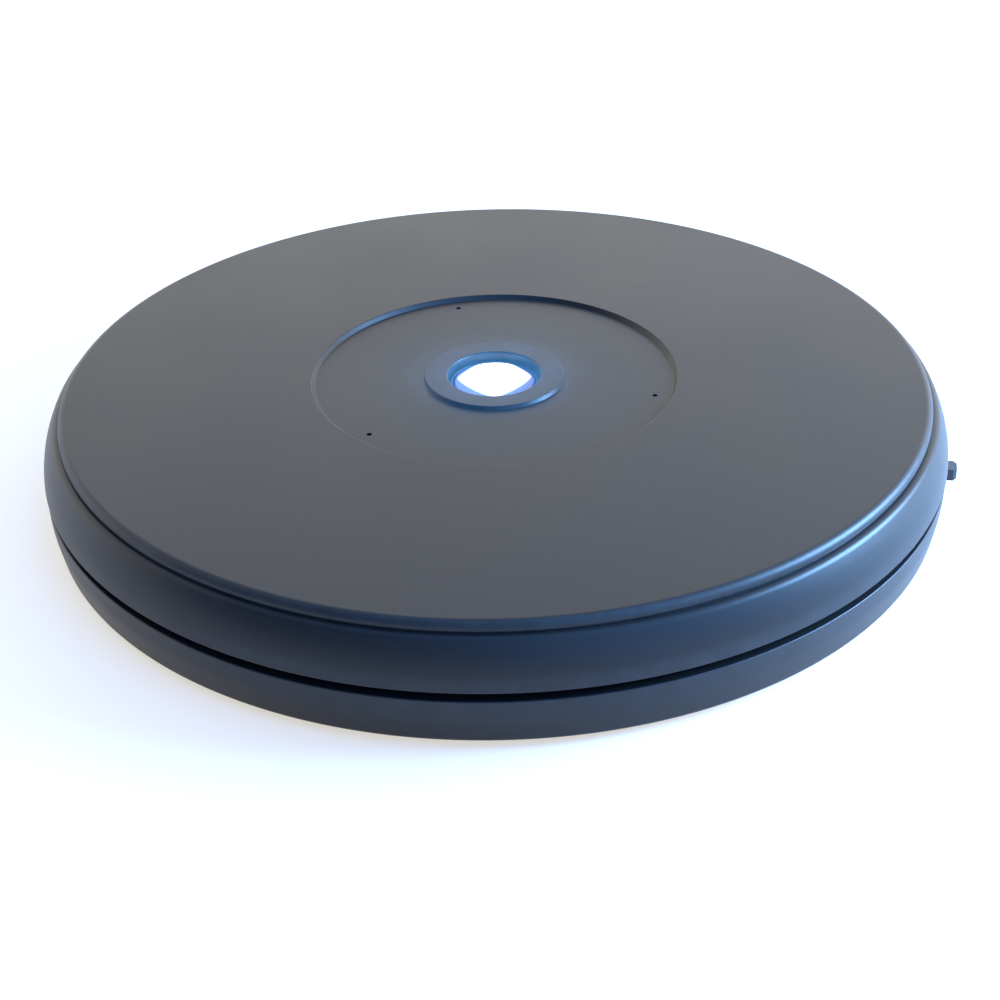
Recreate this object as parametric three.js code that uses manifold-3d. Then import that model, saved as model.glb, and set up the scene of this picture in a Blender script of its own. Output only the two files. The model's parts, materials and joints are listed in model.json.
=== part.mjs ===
// Electric turntable display stand: a lit, motor-driven platter on a flat round base.
// Millimetres, +Z up. The origin is at the middle of the stand, on the surface that its feet rest on.
// The stand's right side, with the switch, is towards +X; its front is towards -Y.
import * as THREE from "three";
import { mergeVertices } from "three/addons/utils/BufferGeometryUtils.js";
import Module from "manifold-3d";

const wasm = await Module();
wasm.setup();

// Overall shape.
const RADIUS = 125; // widest radius, on the platter's skirt
const FACE_Z = 32.6; // the display face
const SKIRT_Z = 17; // lower edge of the platter's skirt
const GAP = 2.4; // dark gap between platter and base
const BASE_Z = 2; // lower edge of the base ring
const FOOT_Z = 2.6; // top of the feet, let into the bottom plate
const PLATE = 2.4; // wall thickness of the platter and of the bottom plate
const FIT = 0.3; // gap between pieces that meet
const FACETS = { large: 48, middle: 24, small: 16, tiny: 8 }; // round turned pieces, by size

// Platter. The outer edge has a rolled bead, a narrow groove, a second bead and a gently bowed side wall.
const RIM = { edge: 119.6, roll: 2.2, groove: 0.5, grooveWidth: 0.4, ridge: 0.7, bead: 2 };
const SIDE = { radius: 27.5, lean: 4, insideTop: 28, chamfer: 0.3 };
const RECESS = { radius: 50.8, depth: 1.2, slope: 1 };
const BOSS = { radius: 19.6, height: 1, slope: 0.4 };
const WELL = { radius: 13, floor: 22.6, chamfer: 0.5 };
const DIMPLES = { count: 3, reach: 45.6, radius: 0.75, depth: 1.4, first: 103 };
const TRACK = { inner: 94.5, outer: 101.5, z: 27 };
const HUB = { bore: 11.8, outer: 15.2, bottom: 20.2 };

// Base. The labyrinth is an upstanding wall inside the platter's skirt.
const BASE_RING = { outer: 124.8, foot: 122, seat: 120.9, plateFit: 0.4, wall: 2.45, chamfer: 0.3 };
const BASE_EDGE = { x: 121.7, radius: 2.1, inside: 1.4 };
const LABYRINTH = { inner: 115.8, outer: 118, top: 20.5 };
const PILLARS = { count: 4, first: 30, reach: 117.4, radius: 3.6 };
const FEET = { count: 4, first: 0, reach: 103, radius: 6.5, chamfer: 0.6 };
const POST = { radius: 10, bore: 7, shoulder: 14, shoulderZ: 16.9, flange: 20, flangeTop: 7.5 };
const LEAD_WINDOW = { halfWidth: 3, low: 8, high: 13 }; // lets the lamp's lead into the post
const WASHER = { outer: 13.6, thickness: 1 };
const BUSH = { flange: 14, body: 11.5 };

// Drive and support.
const TOOTH = { module: 1.5, pressure: 20, addendum: 0.9, dedendum: 1.2 };
const GEAR = { teeth: 45, bottom: 21.3, height: 5.2, bore: 16.2 };
const PINION = { teeth: 15, bottom: 20.3, height: 6.7, bore: 3.3 };
const SHAFT = { radius: 3, proud: 0.8, seat: 2 };
const MOTOR = { radius: 21, split: 12.7, top: 18.9, reach: 27 };
const EAR = { bottom: 15.9, top: 17.9, radius: 4.5, hole: 1.5, pillar: 4 };
const ROLLERS = { count: 4, first: 45, reach: 98, radius: 7, width: 5, chamfer: 0.5 };
const BRACKET = { play: 0.7, cheek: 2, halfFoot: 7, halfCheek: 5, foot: 2, aboveAxle: 3.5 };
const AXLE = { radius: 1.5, half: 5.7 };

// Lamp.
const HOLDER = { radius: 12.5, inner: 11.7, ledge: 10.4, hole: 4, floor: 1.2, top: 29.9, spigot: 4 };
const LED_BOARD = { radius: 11.3, bottom: 25.8, thickness: 1 };
const LEDS = { count: 4, reach: 6.2, radius: 2.5, height: 1.6 };
const COVER = { radius: 11.3, inner: 10.4, top: 30, thickness: 0.9, chamfer: 0.5 };

// Controls and electronics.
const SWITCH = { angle: -10, z: 9.55, travel: 3, inside: 3.7, proud: 3.2, width: 5, height: 3.4, round: 1.2 };
const SWITCH_BODY = { back: 10.5, front: 4, halfWidth: 6.5, below: 2.5, above: 2.3 };
const SLOT = { halfWidth: 4.3, halfHeight: 2 };
const JACK = { angle: 14, z: 8.5, back: 109.5, halfWidth: 4.2, halfHeight: 3.1, shoulder: 4.9 };
const JACK_NOSE = { radius: 2.8, bore: 1.75, boreDepth: 8.4, hole: 3.2, inset: 0.6 };
const JACK_PIN = { radius: 0.65, length: 11, middle: 7.5 };
const BOARD = { x: 64, length: 30, width: 44, bottom: 8.3, thickness: 1.6, hole: 1.2, pillar: 3 };
const CAPACITOR = { radius: 4, height: 9, x: 7, y: 6 };
const CONNECTOR = { from: -12, to: -6, halfWidth: 9, height: 4 };
const LEAD = { radius: 1, clearance: 0.4 };

// Screws, each by its shank and head.
const BASE_SCREW = { shank: 1.2, length: 8, head: 2.8, headHeight: 1.2, recess: 1.4 };
const POST_SCREW = { count: 3, first: 60, reach: 16.4, shank: 1.2, length: 3.2, head: 2.8, headHeight: 1.2 };
const GEAR_SCREW = { count: 3, first: 30, reach: 25, shank: 1.2, length: 8, head: 2.8, headHeight: 1.4 };
const MOTOR_SCREW = { shank: 1.2, length: 9, head: 2.8, headHeight: 1.4 };
const BOARD_SCREW = { shank: 0.9, length: 4.6, head: 2, headHeight: 1.1 };

// Heights, radii and places worked out from them.
const RIM_TOP = SKIRT_Z - GAP; // upper edge of the base ring
const SIDE_LEAN = (SIDE.lean * Math.PI) / 180;
const SIDE_CENTRE = {
  x: RADIUS - SIDE.radius * Math.cos(SIDE_LEAN),
  z: SKIRT_Z + SIDE.chamfer - SIDE.radius * Math.sin(SIDE_LEAN),
};
const PLATE_BOTTOM = BASE_Z + FIT;
const FLOOR = PLATE_BOTTOM + PLATE; // inner floor of the base
const SCREW_SEAT = PLATE_BOTTOM + BASE_SCREW.recess; // where screw heads bear on the bottom plate
const ROLLER_Z = TRACK.z - FIT - ROLLERS.radius;
const GEAR_RADIUS = (TOOTH.module * GEAR.teeth) / 2;
const PINION_RADIUS = (TOOTH.module * PINION.teeth) / 2;
const MOTOR_X = -(GEAR_RADIUS + PINION_RADIUS);
const RECESS_Z = FACE_Z - RECESS.depth;
const BOSS_Z = RECESS_Z + BOSS.height;
const WASHER_BOTTOM = POST.shoulderZ + FIT;
const WASHER_TOP = WASHER_BOTTOM + WASHER.thickness;
const LED_BOARD_TOP = LED_BOARD.bottom + LED_BOARD.thickness;
const BOARD_TOP = BOARD.bottom + BOARD.thickness;
const PILLAR_ANGLES = around(PILLARS.count, PILLARS.first);
const FOOT_ANGLES = around(FEET.count, FEET.first);
const POST_SCREW_ANGLES = around(POST_SCREW.count, POST_SCREW.first);
const GEAR_SCREW_ANGLES = around(GEAR_SCREW.count, GEAR_SCREW.first);
const EAR_SIDES = [-MOTOR.reach, MOTOR.reach];
const BOARD_SCREW_PLACES = [
  [BOARD.x - 10, 17],
  [BOARD.x + 10, -17],
];
const THROUGH = 40; // longer than any hole is deep

// Materials.
const satinBlack = { color: 0x36383b, roughness: 0.38, metalness: 0 };
const blackPlastic = { color: 0x1c1d1f, roughness: 0.5, metalness: 0 };
const rubber = { color: 0x151515, roughness: 0.85, metalness: 0 };
const nylon = { color: 0xe9e6dc, roughness: 0.5, metalness: 0 };
const acetal = { color: 0xf2f1ec, roughness: 0.4, metalness: 0 };
const steel = { color: 0xb9bcc0, roughness: 0.3, metalness: 1 };
const boardGreen = { color: 0x1f5a38, roughness: 0.45, metalness: 0 };
const boardWhite = { color: 0xf4f6f8, roughness: 0.4, metalness: 0 };
const ledWhite = { color: 0xeaf4ff, roughness: 0.25, metalness: 0, emissive: 0xcfe6ff };
const clearPlastic = { color: 0xf0f8ff, roughness: 0.08, metalness: 0 };
const leadBlack = { color: 0x101012, roughness: 0.6, metalness: 0 };
const leadRed = { color: 0xa01818, roughness: 0.6, metalness: 0 };

// The group that holds every piece. Pieces are added by name, each with its own material.
const stand = new THREE.Group();

function add(name, geometry, finish, parent = stand) {
  const mesh = new THREE.Mesh(geometry, new THREE.MeshStandardMaterial(finish));
  mesh.name = name;
  parent.add(mesh);
}

// A group turned about Z, so that its own +X points outwards at an angle round the stand.
function facing(degrees) {
  const group = new THREE.Group();
  group.rotation.z = THREE.MathUtils.degToRad(degrees);
  stand.add(group);
  return group;
}

function radians(degrees) {
  return THREE.MathUtils.degToRad(degrees);
}

function polar(reach, degrees) {
  const angle = radians(degrees);
  return [reach * Math.cos(angle), reach * Math.sin(angle)];
}

// Evenly spaced angles round the axis, in degrees.
function around(count, first) {
  return Array.from({ length: count }, (_, i) => first + (360 * i) / count);
}

// A closed three.js geometry as a manifold-3d solid, and back.
function toSolid(geometry) {
  const bare = new THREE.BufferGeometry();
  bare.setAttribute("position", geometry.getAttribute("position"));
  bare.setIndex(geometry.index);
  const merged = mergeVertices(bare, 1e-4);
  const vertProperties = merged.getAttribute("position").array;
  const triVerts = new Uint32Array(merged.index.array);
  return new wasm.Manifold(new wasm.Mesh({ numProp: 3, vertProperties, triVerts }));
}

function toGeometry(solid) {
  const mesh = solid.getMesh();
  const geometry = new THREE.BufferGeometry();
  geometry.setAttribute("position", new THREE.BufferAttribute(mesh.vertProperties, 3));
  geometry.setIndex(new THREE.BufferAttribute(mesh.triVerts, 1));
  return geometry;
}

function join(first, ...others) {
  return toGeometry(others.reduce((sum, other) => sum.add(toSolid(other)), toSolid(first)));
}

function cut(body, ...tools) {
  return toGeometry(tools.reduce((rest, tool) => rest.subtract(toSolid(tool)), toSolid(body)));
}

function at(geometry, x, y, z = 0) {
  return geometry.translate(x, y, z);
}

// A profile in (radius, height) turned about Z. It runs anticlockwise and closes on itself or on the axis.
function turned(points, segments = FACETS.large) {
  return new THREE.LatheGeometry(points, segments).rotateX(Math.PI / 2);
}

function closedPoints(shape, divisions) {
  const points = shape.getPoints(divisions);
  if (points[0].distanceTo(points.at(-1)) > 1e-6) points.push(points[0].clone());
  return points;
}

function ring(inner, outer, bottom, top) {
  const shape = new THREE.Shape();
  shape.moveTo(inner, bottom);
  shape.lineTo(outer, bottom);
  shape.lineTo(outer, top);
  shape.lineTo(inner, top);
  return turned(closedPoints(shape, 1), FACETS.middle);
}

// An upright cylinder between two heights.
function rod(radius, bottom, top, segments = FACETS.middle) {
  const height = top - bottom;
  const upright = new THREE.CylinderGeometry(radius, radius, height, segments).rotateX(Math.PI / 2);
  return upright.translate(0, 0, bottom + height / 2);
}

// A cylinder along X between two places, at a height.
function crossRod(radius, from, to, z, segments = FACETS.small) {
  const length = to - from;
  const lying = new THREE.CylinderGeometry(radius, radius, length, segments).rotateZ(Math.PI / 2);
  return lying.translate(from + length / 2, 0, z);
}

// A box given by its low and high corners.
function block(x0, x1, y0, y1, z0, z1) {
  const box = new THREE.BoxGeometry(x1 - x0, y1 - y0, z1 - z0);
  return box.translate((x0 + x1) / 2, (y0 + y1) / 2, (z0 + z1) / 2);
}

// A pan-head screw with its shank up and the underside of its head at z = 0.
function screw({ shank, length, head, headHeight }) {
  const edge = headHeight * 0.4;
  const profile = [
    new THREE.Vector2(0, -headHeight),
    new THREE.Vector2(head - edge, -headHeight),
    new THREE.Vector2(head, edge - headHeight),
    new THREE.Vector2(head, 0),
    new THREE.Vector2(shank, 0),
    new THREE.Vector2(shank, length),
    new THREE.Vector2(0, length),
  ];
  return turned(profile, FACETS.tiny);
}

// An upright hole for a screw's shank.
function screwHole(kind, place, top = THROUGH) {
  return at(rod(kind.shank + FIT, 0, top, FACETS.tiny), ...place);
}

// An insulated lead: a round tube along a smooth curve through the points.
function lead(points) {
  const section = new THREE.Shape().absarc(0, 0, LEAD.radius, 0, 2 * Math.PI);
  const route = new THREE.CatmullRomCurve3(points.map((point) => new THREE.Vector3(...point)));
  const steps = 3 * points.length;
  return new THREE.ExtrudeGeometry(section, { steps, curveSegments: 4, extrudePath: route });
}

// Outline of an involute spur gear, with a tooth centred on +X.
function gearOutline(teeth) {
  const pitch = (TOOTH.module * teeth) / 2;
  const base = pitch * Math.cos(radians(TOOTH.pressure));
  const tip = pitch + TOOTH.addendum * TOOTH.module;
  const root = pitch - TOOTH.dedendum * TOOTH.module;
  const halfTooth = ((Math.PI * TOOTH.module) / 2 - FIT) / 2 / pitch;
  const involute = (radius) => {
    const angle = Math.acos(Math.min(1, base / radius));
    return Math.tan(angle) - angle;
  };
  const flank = (radius) => halfTooth + involute(pitch) - involute(radius);
  const radii = [root, pitch, tip];
  const points = [];
  for (let tooth = 0; tooth < teeth; tooth++) {
    const centre = (2 * Math.PI * tooth) / teeth;
    const rising = radii.map((radius) => [radius, centre - flank(radius)]);
    const falling = radii.map((radius) => [radius, centre + flank(radius)]).reverse();
    for (const [radius, angle] of [...rising, ...falling]) {
      points.push(new THREE.Vector2(radius * Math.cos(angle), radius * Math.sin(angle)));
    }
  }
  return new THREE.Shape(points);
}

function spurGear(gear) {
  const shape = gearOutline(gear.teeth);
  const bore = new THREE.Path().absarc(0, 0, gear.bore, 0, 2 * Math.PI, true);
  shape.holes.push(bore);
  const wheel = new THREE.ExtrudeGeometry(shape, { depth: gear.height, bevelEnabled: false });
  return wheel.translate(0, 0, gear.bottom);
}

// Base ring: the visible outer wall, a ledge and the labyrinth wall, with pillars for the bottom screws.
function baseRingOutline() {
  const { outer, foot, seat, wall, chamfer } = BASE_RING;
  const outline = new THREE.Shape();
  outline.moveTo(seat, BASE_Z);
  outline.lineTo(foot, BASE_Z);
  outline.absarc(BASE_EDGE.x, BASE_Z + BASE_EDGE.radius, BASE_EDGE.radius, radians(-60), radians(-12), false);
  outline.quadraticCurveTo(outer, RIM_TOP - 2 * wall, outer, RIM_TOP - chamfer);
  outline.lineTo(outer - chamfer, RIM_TOP);
  outline.lineTo(LABYRINTH.outer, RIM_TOP);
  outline.lineTo(LABYRINTH.outer, LABYRINTH.top);
  outline.lineTo(LABYRINTH.inner, LABYRINTH.top);
  outline.lineTo(LABYRINTH.inner, RIM_TOP - wall);
  outline.lineTo(outer - wall, RIM_TOP - wall);
  outline.lineTo(foot - chamfer, FLOOR + BASE_EDGE.inside);
  outline.lineTo(seat, FLOOR + FIT);
  return outline;
}

function baseRing() {
  const shell = turned(closedPoints(baseRingOutline(), 2));
  const ledgeBottom = RIM_TOP - BASE_RING.wall;
  const pillars = PILLAR_ANGLES.map((angle) => {
    const pillar = rod(PILLARS.radius, FLOOR + FIT, ledgeBottom + BASE_RING.wall / 2, FACETS.small);
    return at(pillar, ...polar(PILLARS.reach, angle));
  });
  const holes = PILLAR_ANGLES.map((angle) => screwHole(BASE_SCREW, polar(PILLARS.reach, angle), ledgeBottom));
  const inside = RADIUS - 2 * BASE_RING.wall;
  const outside = RADIUS + BASE_RING.wall;
  const { halfWidth, halfHeight } = SLOT;
  const slot = block(inside, outside, -halfWidth, halfWidth, SWITCH.z - halfHeight, SWITCH.z + halfHeight);
  const socketHole = crossRod(JACK_NOSE.hole, inside, outside, JACK.z);
  return cut(
    join(shell, ...pillars),
    ...holes,
    slot.rotateZ(radians(SWITCH.angle)),
    socketHole.rotateZ(radians(JACK.angle)),
  );
}

// Bottom plate: closes the base from below and carries the pillars for the motor and the circuit board.
function screwPassage(kind, place) {
  const recess = rod(kind.head + FIT, 0, SCREW_SEAT, FACETS.small);
  return [screwHole(kind, place, FLOOR + FIT), at(recess, ...place)];
}

function hollowPillar(radius, hole, top, place) {
  const pillar = rod(radius, FLOOR - PLATE / 2, top, FACETS.small);
  return at(cut(pillar, rod(hole, FLOOR, THROUGH, FACETS.tiny)), ...place);
}

function bottomPlate() {
  const disc = rod(BASE_RING.seat - BASE_RING.plateFit, PLATE_BOTTOM, FLOOR, FACETS.large);
  const footPockets = FOOT_ANGLES.map((angle) => {
    const pocket = rod(FEET.radius + FIT, 0, FOOT_Z + FIT, FACETS.small);
    return at(pocket, ...polar(FEET.reach, angle));
  });
  const passages = [
    ...PILLAR_ANGLES.flatMap((angle) => screwPassage(BASE_SCREW, polar(PILLARS.reach, angle))),
    ...POST_SCREW_ANGLES.flatMap((angle) => screwPassage(POST_SCREW, polar(POST_SCREW.reach, angle))),
  ];
  const pillars = [
    ...EAR_SIDES.map((y) => hollowPillar(EAR.pillar, EAR.hole, EAR.bottom - FIT, [MOTOR_X, y])),
    ...BOARD_SCREW_PLACES.map((place) => hollowPillar(BOARD.pillar, BOARD.hole, BOARD.bottom - FIT, place)),
  ];
  return join(cut(disc, ...footPockets, ...passages), ...pillars);
}

function rubberFoot() {
  const { radius, chamfer } = FEET;
  const outline = new THREE.Path();
  outline.moveTo(0, 0);
  outline.lineTo(radius - chamfer, 0);
  outline.lineTo(radius, chamfer);
  outline.lineTo(radius, FOOT_Z);
  outline.lineTo(0, FOOT_Z);
  return turned(outline.getPoints(1), FACETS.small);
}

add("base_ring", baseRing(), satinBlack);
add("bottom_plate", bottomPlate(), blackPlastic);
PILLAR_ANGLES.forEach((angle, i) => {
  const place = polar(PILLARS.reach, angle);
  add(`bottom_screw_${i + 1}`, at(screw(BASE_SCREW), ...place, SCREW_SEAT - FIT), steel);
});
FOOT_ANGLES.forEach((angle, i) => {
  add(`rubber_foot_${i + 1}`, at(rubberFoot(), ...polar(FEET.reach, angle)), rubber);
});

// Centre: a hollow post that stands still while the platter turns round it, on a washer and a bush.
function centrePost() {
  const { radius, bore, shoulder, shoulderZ, flange, flangeTop } = POST;
  const foot = FLOOR + FIT;
  const outline = new THREE.Shape();
  outline.moveTo(bore, foot);
  outline.lineTo(flange, foot);
  outline.lineTo(flange, flangeTop);
  outline.lineTo(shoulder, flangeTop);
  outline.lineTo(shoulder, shoulderZ);
  outline.lineTo(radius, shoulderZ);
  outline.lineTo(radius, WELL.floor);
  outline.lineTo(bore, WELL.floor);
  const { halfWidth, low, high } = LEAD_WINDOW;
  const leadWindow = block(bore / 2, flange, -halfWidth, halfWidth, low, high);
  const holeTop = SCREW_SEAT + POST_SCREW.length;
  const holes = POST_SCREW_ANGLES.map((angle) => {
    return screwHole(POST_SCREW, polar(POST_SCREW.reach, angle), holeTop);
  });
  return cut(turned(closedPoints(outline, 1), FACETS.middle), leadWindow, ...holes);
}

function hubBush() {
  const inner = POST.radius + FIT;
  const top = WELL.floor - FIT;
  const outline = new THREE.Shape();
  outline.moveTo(inner, WASHER_TOP + FIT);
  outline.lineTo(BUSH.flange, WASHER_TOP + FIT);
  outline.lineTo(BUSH.flange, HUB.bottom - FIT);
  outline.lineTo(BUSH.body, HUB.bottom - FIT);
  outline.lineTo(BUSH.body, top);
  outline.lineTo(inner, top);
  return turned(closedPoints(outline, 1), FACETS.middle);
}

add("centre_post", centrePost(), blackPlastic);
POST_SCREW_ANGLES.forEach((angle, i) => {
  const place = polar(POST_SCREW.reach, angle);
  add(`post_screw_${i + 1}`, at(screw(POST_SCREW), ...place, SCREW_SEAT - FIT), steel);
});
add("thrust_washer", ring(POST.radius + FIT, WASHER.outer, WASHER_BOTTOM, WASHER_TOP), nylon);
add("hub_bush", hubBush(), nylon);

// Lamp: a cup on the post that also keeps the platter from lifting off, a board of LEDs and a clear cover.
function ledHolder() {
  const { radius, inner, ledge, hole, floor, top, spigot } = HOLDER;
  const bottom = WELL.floor + FIT;
  const boardSeat = LED_BOARD.bottom - FIT;
  const outline = new THREE.Shape();
  outline.moveTo(hole, bottom);
  outline.lineTo(radius, bottom);
  outline.lineTo(radius, top);
  outline.lineTo(inner, top);
  outline.lineTo(inner, boardSeat);
  outline.lineTo(ledge, boardSeat);
  outline.lineTo(ledge, bottom + floor);
  outline.lineTo(hole, bottom + floor);
  const cup = turned(closedPoints(outline, 1), FACETS.middle);
  return join(cup, ring(hole, POST.bore - FIT, bottom - spigot, bottom + floor / 2));
}

function led() {
  const { radius, height } = LEDS;
  const collar = height * 0.4;
  const outline = new THREE.Path();
  outline.moveTo(0, 0);
  outline.lineTo(radius, 0);
  outline.lineTo(radius, collar);
  outline.lineTo(radius * 0.84, collar);
  outline.quadraticCurveTo(radius * 0.8, height, 0, height);
  return turned(outline.getPoints(3), FACETS.small);
}

function lensCover() {
  const { radius, inner, top, thickness, chamfer } = COVER;
  const bottom = LED_BOARD_TOP + FIT;
  const outline = new THREE.Path();
  outline.moveTo(inner, bottom);
  outline.lineTo(radius, bottom);
  outline.lineTo(radius, top - chamfer);
  outline.lineTo(radius - chamfer, top);
  outline.lineTo(0, top);
  outline.lineTo(0, top - thickness);
  outline.lineTo(inner, top - thickness);
  outline.lineTo(inner, bottom);
  return turned(outline.getPoints(1), FACETS.middle);
}

add("led_holder", ledHolder(), blackPlastic);
add("led_board", rod(LED_BOARD.radius, LED_BOARD.bottom, LED_BOARD_TOP), boardWhite);
around(LEDS.count, 0).forEach((angle, i) => {
  add(`led_${i + 1}`, at(led(), ...polar(LEDS.reach, angle), LED_BOARD_TOP + FIT), ledWhite);
});
add("lens_cover", lensCover(), clearPlastic);

// Platter: the turning top shell, with the gear screwed to pillars under it.
function platterUnderside(outline) {
  const underside = FACE_Z - PLATE;
  const recessUnderside = RECESS_Z - PLATE;
  const radius = SIDE.radius - PLATE;
  const bottomAngle = Math.asin((SKIRT_Z - SIDE_CENTRE.z) / radius);
  outline.moveTo(HUB.bore, HUB.bottom);
  outline.lineTo(HUB.outer, HUB.bottom);
  outline.lineTo(HUB.outer, recessUnderside);
  outline.lineTo(RECESS.radius + RECESS.depth, recessUnderside);
  outline.lineTo(RECESS.radius + 2 * RECESS.depth, underside);
  outline.lineTo(TRACK.inner, underside);
  outline.lineTo(TRACK.inner, TRACK.z);
  outline.lineTo(TRACK.outer, TRACK.z);
  outline.lineTo(TRACK.outer, underside);
  outline.lineTo(RIM.edge - 1.5 * PLATE, underside);
  outline.absarc(SIDE_CENTRE.x, SIDE_CENTRE.z, radius, radians(SIDE.insideTop), bottomAngle, true);
}

function platterRim(outline) {
  const ridgeZ = FACE_Z - RIM.roll - RIM.ridge;
  const grooveX = RIM.edge - RIM.groove;
  const grooveZ = ridgeZ + RIM.grooveWidth / 2;
  const beadZ = ridgeZ - RIM.bead;
  const beadAngle = Math.asin((beadZ - SIDE_CENTRE.z) / (SIDE.radius - RIM.bead)); // where bead and side meet
  const beadX = SIDE_CENTRE.x + (SIDE.radius - RIM.bead) * Math.cos(beadAngle);
  outline.lineTo(RADIUS - SIDE.chamfer, SKIRT_Z);
  outline.absarc(SIDE_CENTRE.x, SIDE_CENTRE.z, SIDE.radius, SIDE_LEAN, beadAngle, false);
  outline.absarc(beadX, beadZ, RIM.bead, beadAngle, Math.PI / 2, false);
  outline.lineTo(grooveX, grooveZ);
  outline.lineTo(grooveX, grooveZ + RIM.grooveWidth);
  outline.absarc(RIM.edge - RIM.roll, FACE_Z - RIM.roll, RIM.roll, 0, Math.PI / 2, false);
}

function platterFace(outline) {
  outline.lineTo(RECESS.radius, FACE_Z);
  outline.lineTo(RECESS.radius - RECESS.slope, RECESS_Z);
  outline.lineTo(BOSS.radius, RECESS_Z);
  outline.lineTo(BOSS.radius - BOSS.slope, BOSS_Z);
  outline.lineTo(WELL.radius + WELL.chamfer, BOSS_Z);
  outline.lineTo(WELL.radius, BOSS_Z - WELL.chamfer);
  outline.lineTo(WELL.radius, WELL.floor);
  outline.lineTo(HUB.bore, WELL.floor);
}

function platterTop() {
  const outline = new THREE.Shape();
  platterUnderside(outline);
  platterRim(outline);
  platterFace(outline);
  const pillarTop = RECESS_Z - PLATE / 2;
  const pillarBottom = GEAR.bottom + GEAR.height + FIT;
  const pillars = GEAR_SCREW_ANGLES.map((angle) => {
    const pillar = rod(PILLARS.radius, pillarBottom, pillarTop, FACETS.small);
    return at(pillar, ...polar(GEAR_SCREW.reach, angle));
  });
  const holes = GEAR_SCREW_ANGLES.map((angle) => {
    return screwHole(GEAR_SCREW, polar(GEAR_SCREW.reach, angle), pillarTop);
  });
  const dimples = around(DIMPLES.count, DIMPLES.first).map((angle) => {
    const hole = rod(DIMPLES.radius, RECESS_Z - DIMPLES.depth, FACE_Z, FACETS.tiny);
    return at(hole, ...polar(DIMPLES.reach, angle));
  });
  return cut(join(turned(closedPoints(outline, 2)), ...pillars), ...holes, ...dimples);
}

function platterGear() {
  const holes = GEAR_SCREW_ANGLES.map((angle) => screwHole(GEAR_SCREW, polar(GEAR_SCREW.reach, angle)));
  const halfPitch = Math.PI / GEAR.teeth; // puts a gap of the gear opposite a tooth of the pinion
  return cut(spurGear(GEAR).rotateZ(Math.PI + halfPitch), ...holes);
}

add("platter_top", platterTop(), satinBlack);
add("platter_gear", platterGear(), acetal);
GEAR_SCREW_ANGLES.forEach((angle, i) => {
  const place = polar(GEAR_SCREW.reach, angle);
  add(`gear_screw_${i + 1}`, at(screw(GEAR_SCREW), ...place, GEAR.bottom - FIT), steel);
});

// Drive: a geared motor whose pinion meshes with the platter's gear.
function motorGearbox() {
  const { bottom, top, radius, hole } = EAR;
  const housing = rod(MOTOR.radius, MOTOR.split + FIT, MOTOR.top);
  const bar = block(-radius, radius, -MOTOR.reach, MOTOR.reach, bottom, top);
  const ears = EAR_SIDES.map((y) => at(rod(radius, bottom, top), 0, y));
  const holes = EAR_SIDES.map((y) => at(rod(hole, 0, THROUGH, FACETS.tiny), 0, y));
  const shaftBore = rod(SHAFT.radius + FIT, MOTOR.split + SHAFT.seat, THROUGH, FACETS.small);
  return cut(join(housing, bar, ...ears), ...holes, shaftBore);
}

function outputShaft() {
  const bottom = MOTOR.split + SHAFT.seat + FIT;
  const top = PINION.bottom + PINION.height + SHAFT.proud;
  return rod(SHAFT.radius, bottom, top, FACETS.small);
}

const drive = new THREE.Group();
drive.position.x = MOTOR_X;
stand.add(drive);
add("motor_can", rod(MOTOR.radius, FLOOR + FIT, MOTOR.split), steel, drive);
add("motor_gearbox", motorGearbox(), steel, drive);
add("output_shaft", outputShaft(), steel, drive);
add("drive_pinion", spurGear(PINION), acetal, drive);
EAR_SIDES.forEach((y, i) => {
  const fastener = screw(MOTOR_SCREW).rotateX(Math.PI);
  add(`motor_screw_${i + 1}`, at(fastener, 0, y, EAR.top + FIT), steel, drive);
});

// Support rollers: each turns on a radial axle in a bracket, under the track on the platter's underside.
function rollerBracket() {
  const { play, cheek, halfFoot, halfCheek, foot, aboveAxle } = BRACKET;
  const cheekInside = ROLLERS.width / 2 + play;
  const cheekOutside = cheekInside + cheek;
  const bottom = FLOOR + FIT;
  const base = block(-cheekOutside, cheekOutside, -halfFoot, halfFoot, bottom, bottom + foot);
  const cheeks = [-cheekOutside, cheekInside].map((x) =>
    block(x, x + cheek, -halfCheek, halfCheek, bottom + foot / 2, ROLLER_Z + aboveAxle),
  );
  const axleHole = crossRod(AXLE.radius + FIT, -THROUGH, THROUGH, ROLLER_Z, FACETS.tiny);
  return at(cut(join(base, ...cheeks), axleHole), ROLLERS.reach, 0);
}

function rollerWheel() {
  const { radius, width, chamfer } = ROLLERS;
  const half = width / 2;
  const bore = AXLE.radius + FIT;
  const outline = new THREE.Shape();
  outline.moveTo(bore, -half);
  outline.lineTo(radius - chamfer, -half);
  outline.lineTo(radius, chamfer - half);
  outline.lineTo(radius, half - chamfer);
  outline.lineTo(radius - chamfer, half);
  outline.lineTo(bore, half);
  const wheel = turned(closedPoints(outline, 1), FACETS.middle);
  return at(wheel.rotateY(Math.PI / 2), ROLLERS.reach, 0, ROLLER_Z);
}

around(ROLLERS.count, ROLLERS.first).forEach((angle, i) => {
  const station = facing(angle);
  const axle = crossRod(AXLE.radius, ROLLERS.reach - AXLE.half, ROLLERS.reach + AXLE.half, ROLLER_Z);
  add(`roller_bracket_${i + 1}`, rollerBracket(), blackPlastic, station);
  add(`roller_axle_${i + 1}`, axle, steel, station);
  add(`roller_${i + 1}`, rollerWheel(), acetal, station);
});

// Controls in the wall of the base: a slide switch, and a socket for the supply.
function switchBody() {
  const { back, front, halfWidth, below, above } = SWITCH_BODY;
  return block(RADIUS - back, RADIUS - front, -halfWidth, halfWidth, SWITCH.z - below, SWITCH.z + above);
}

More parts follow.
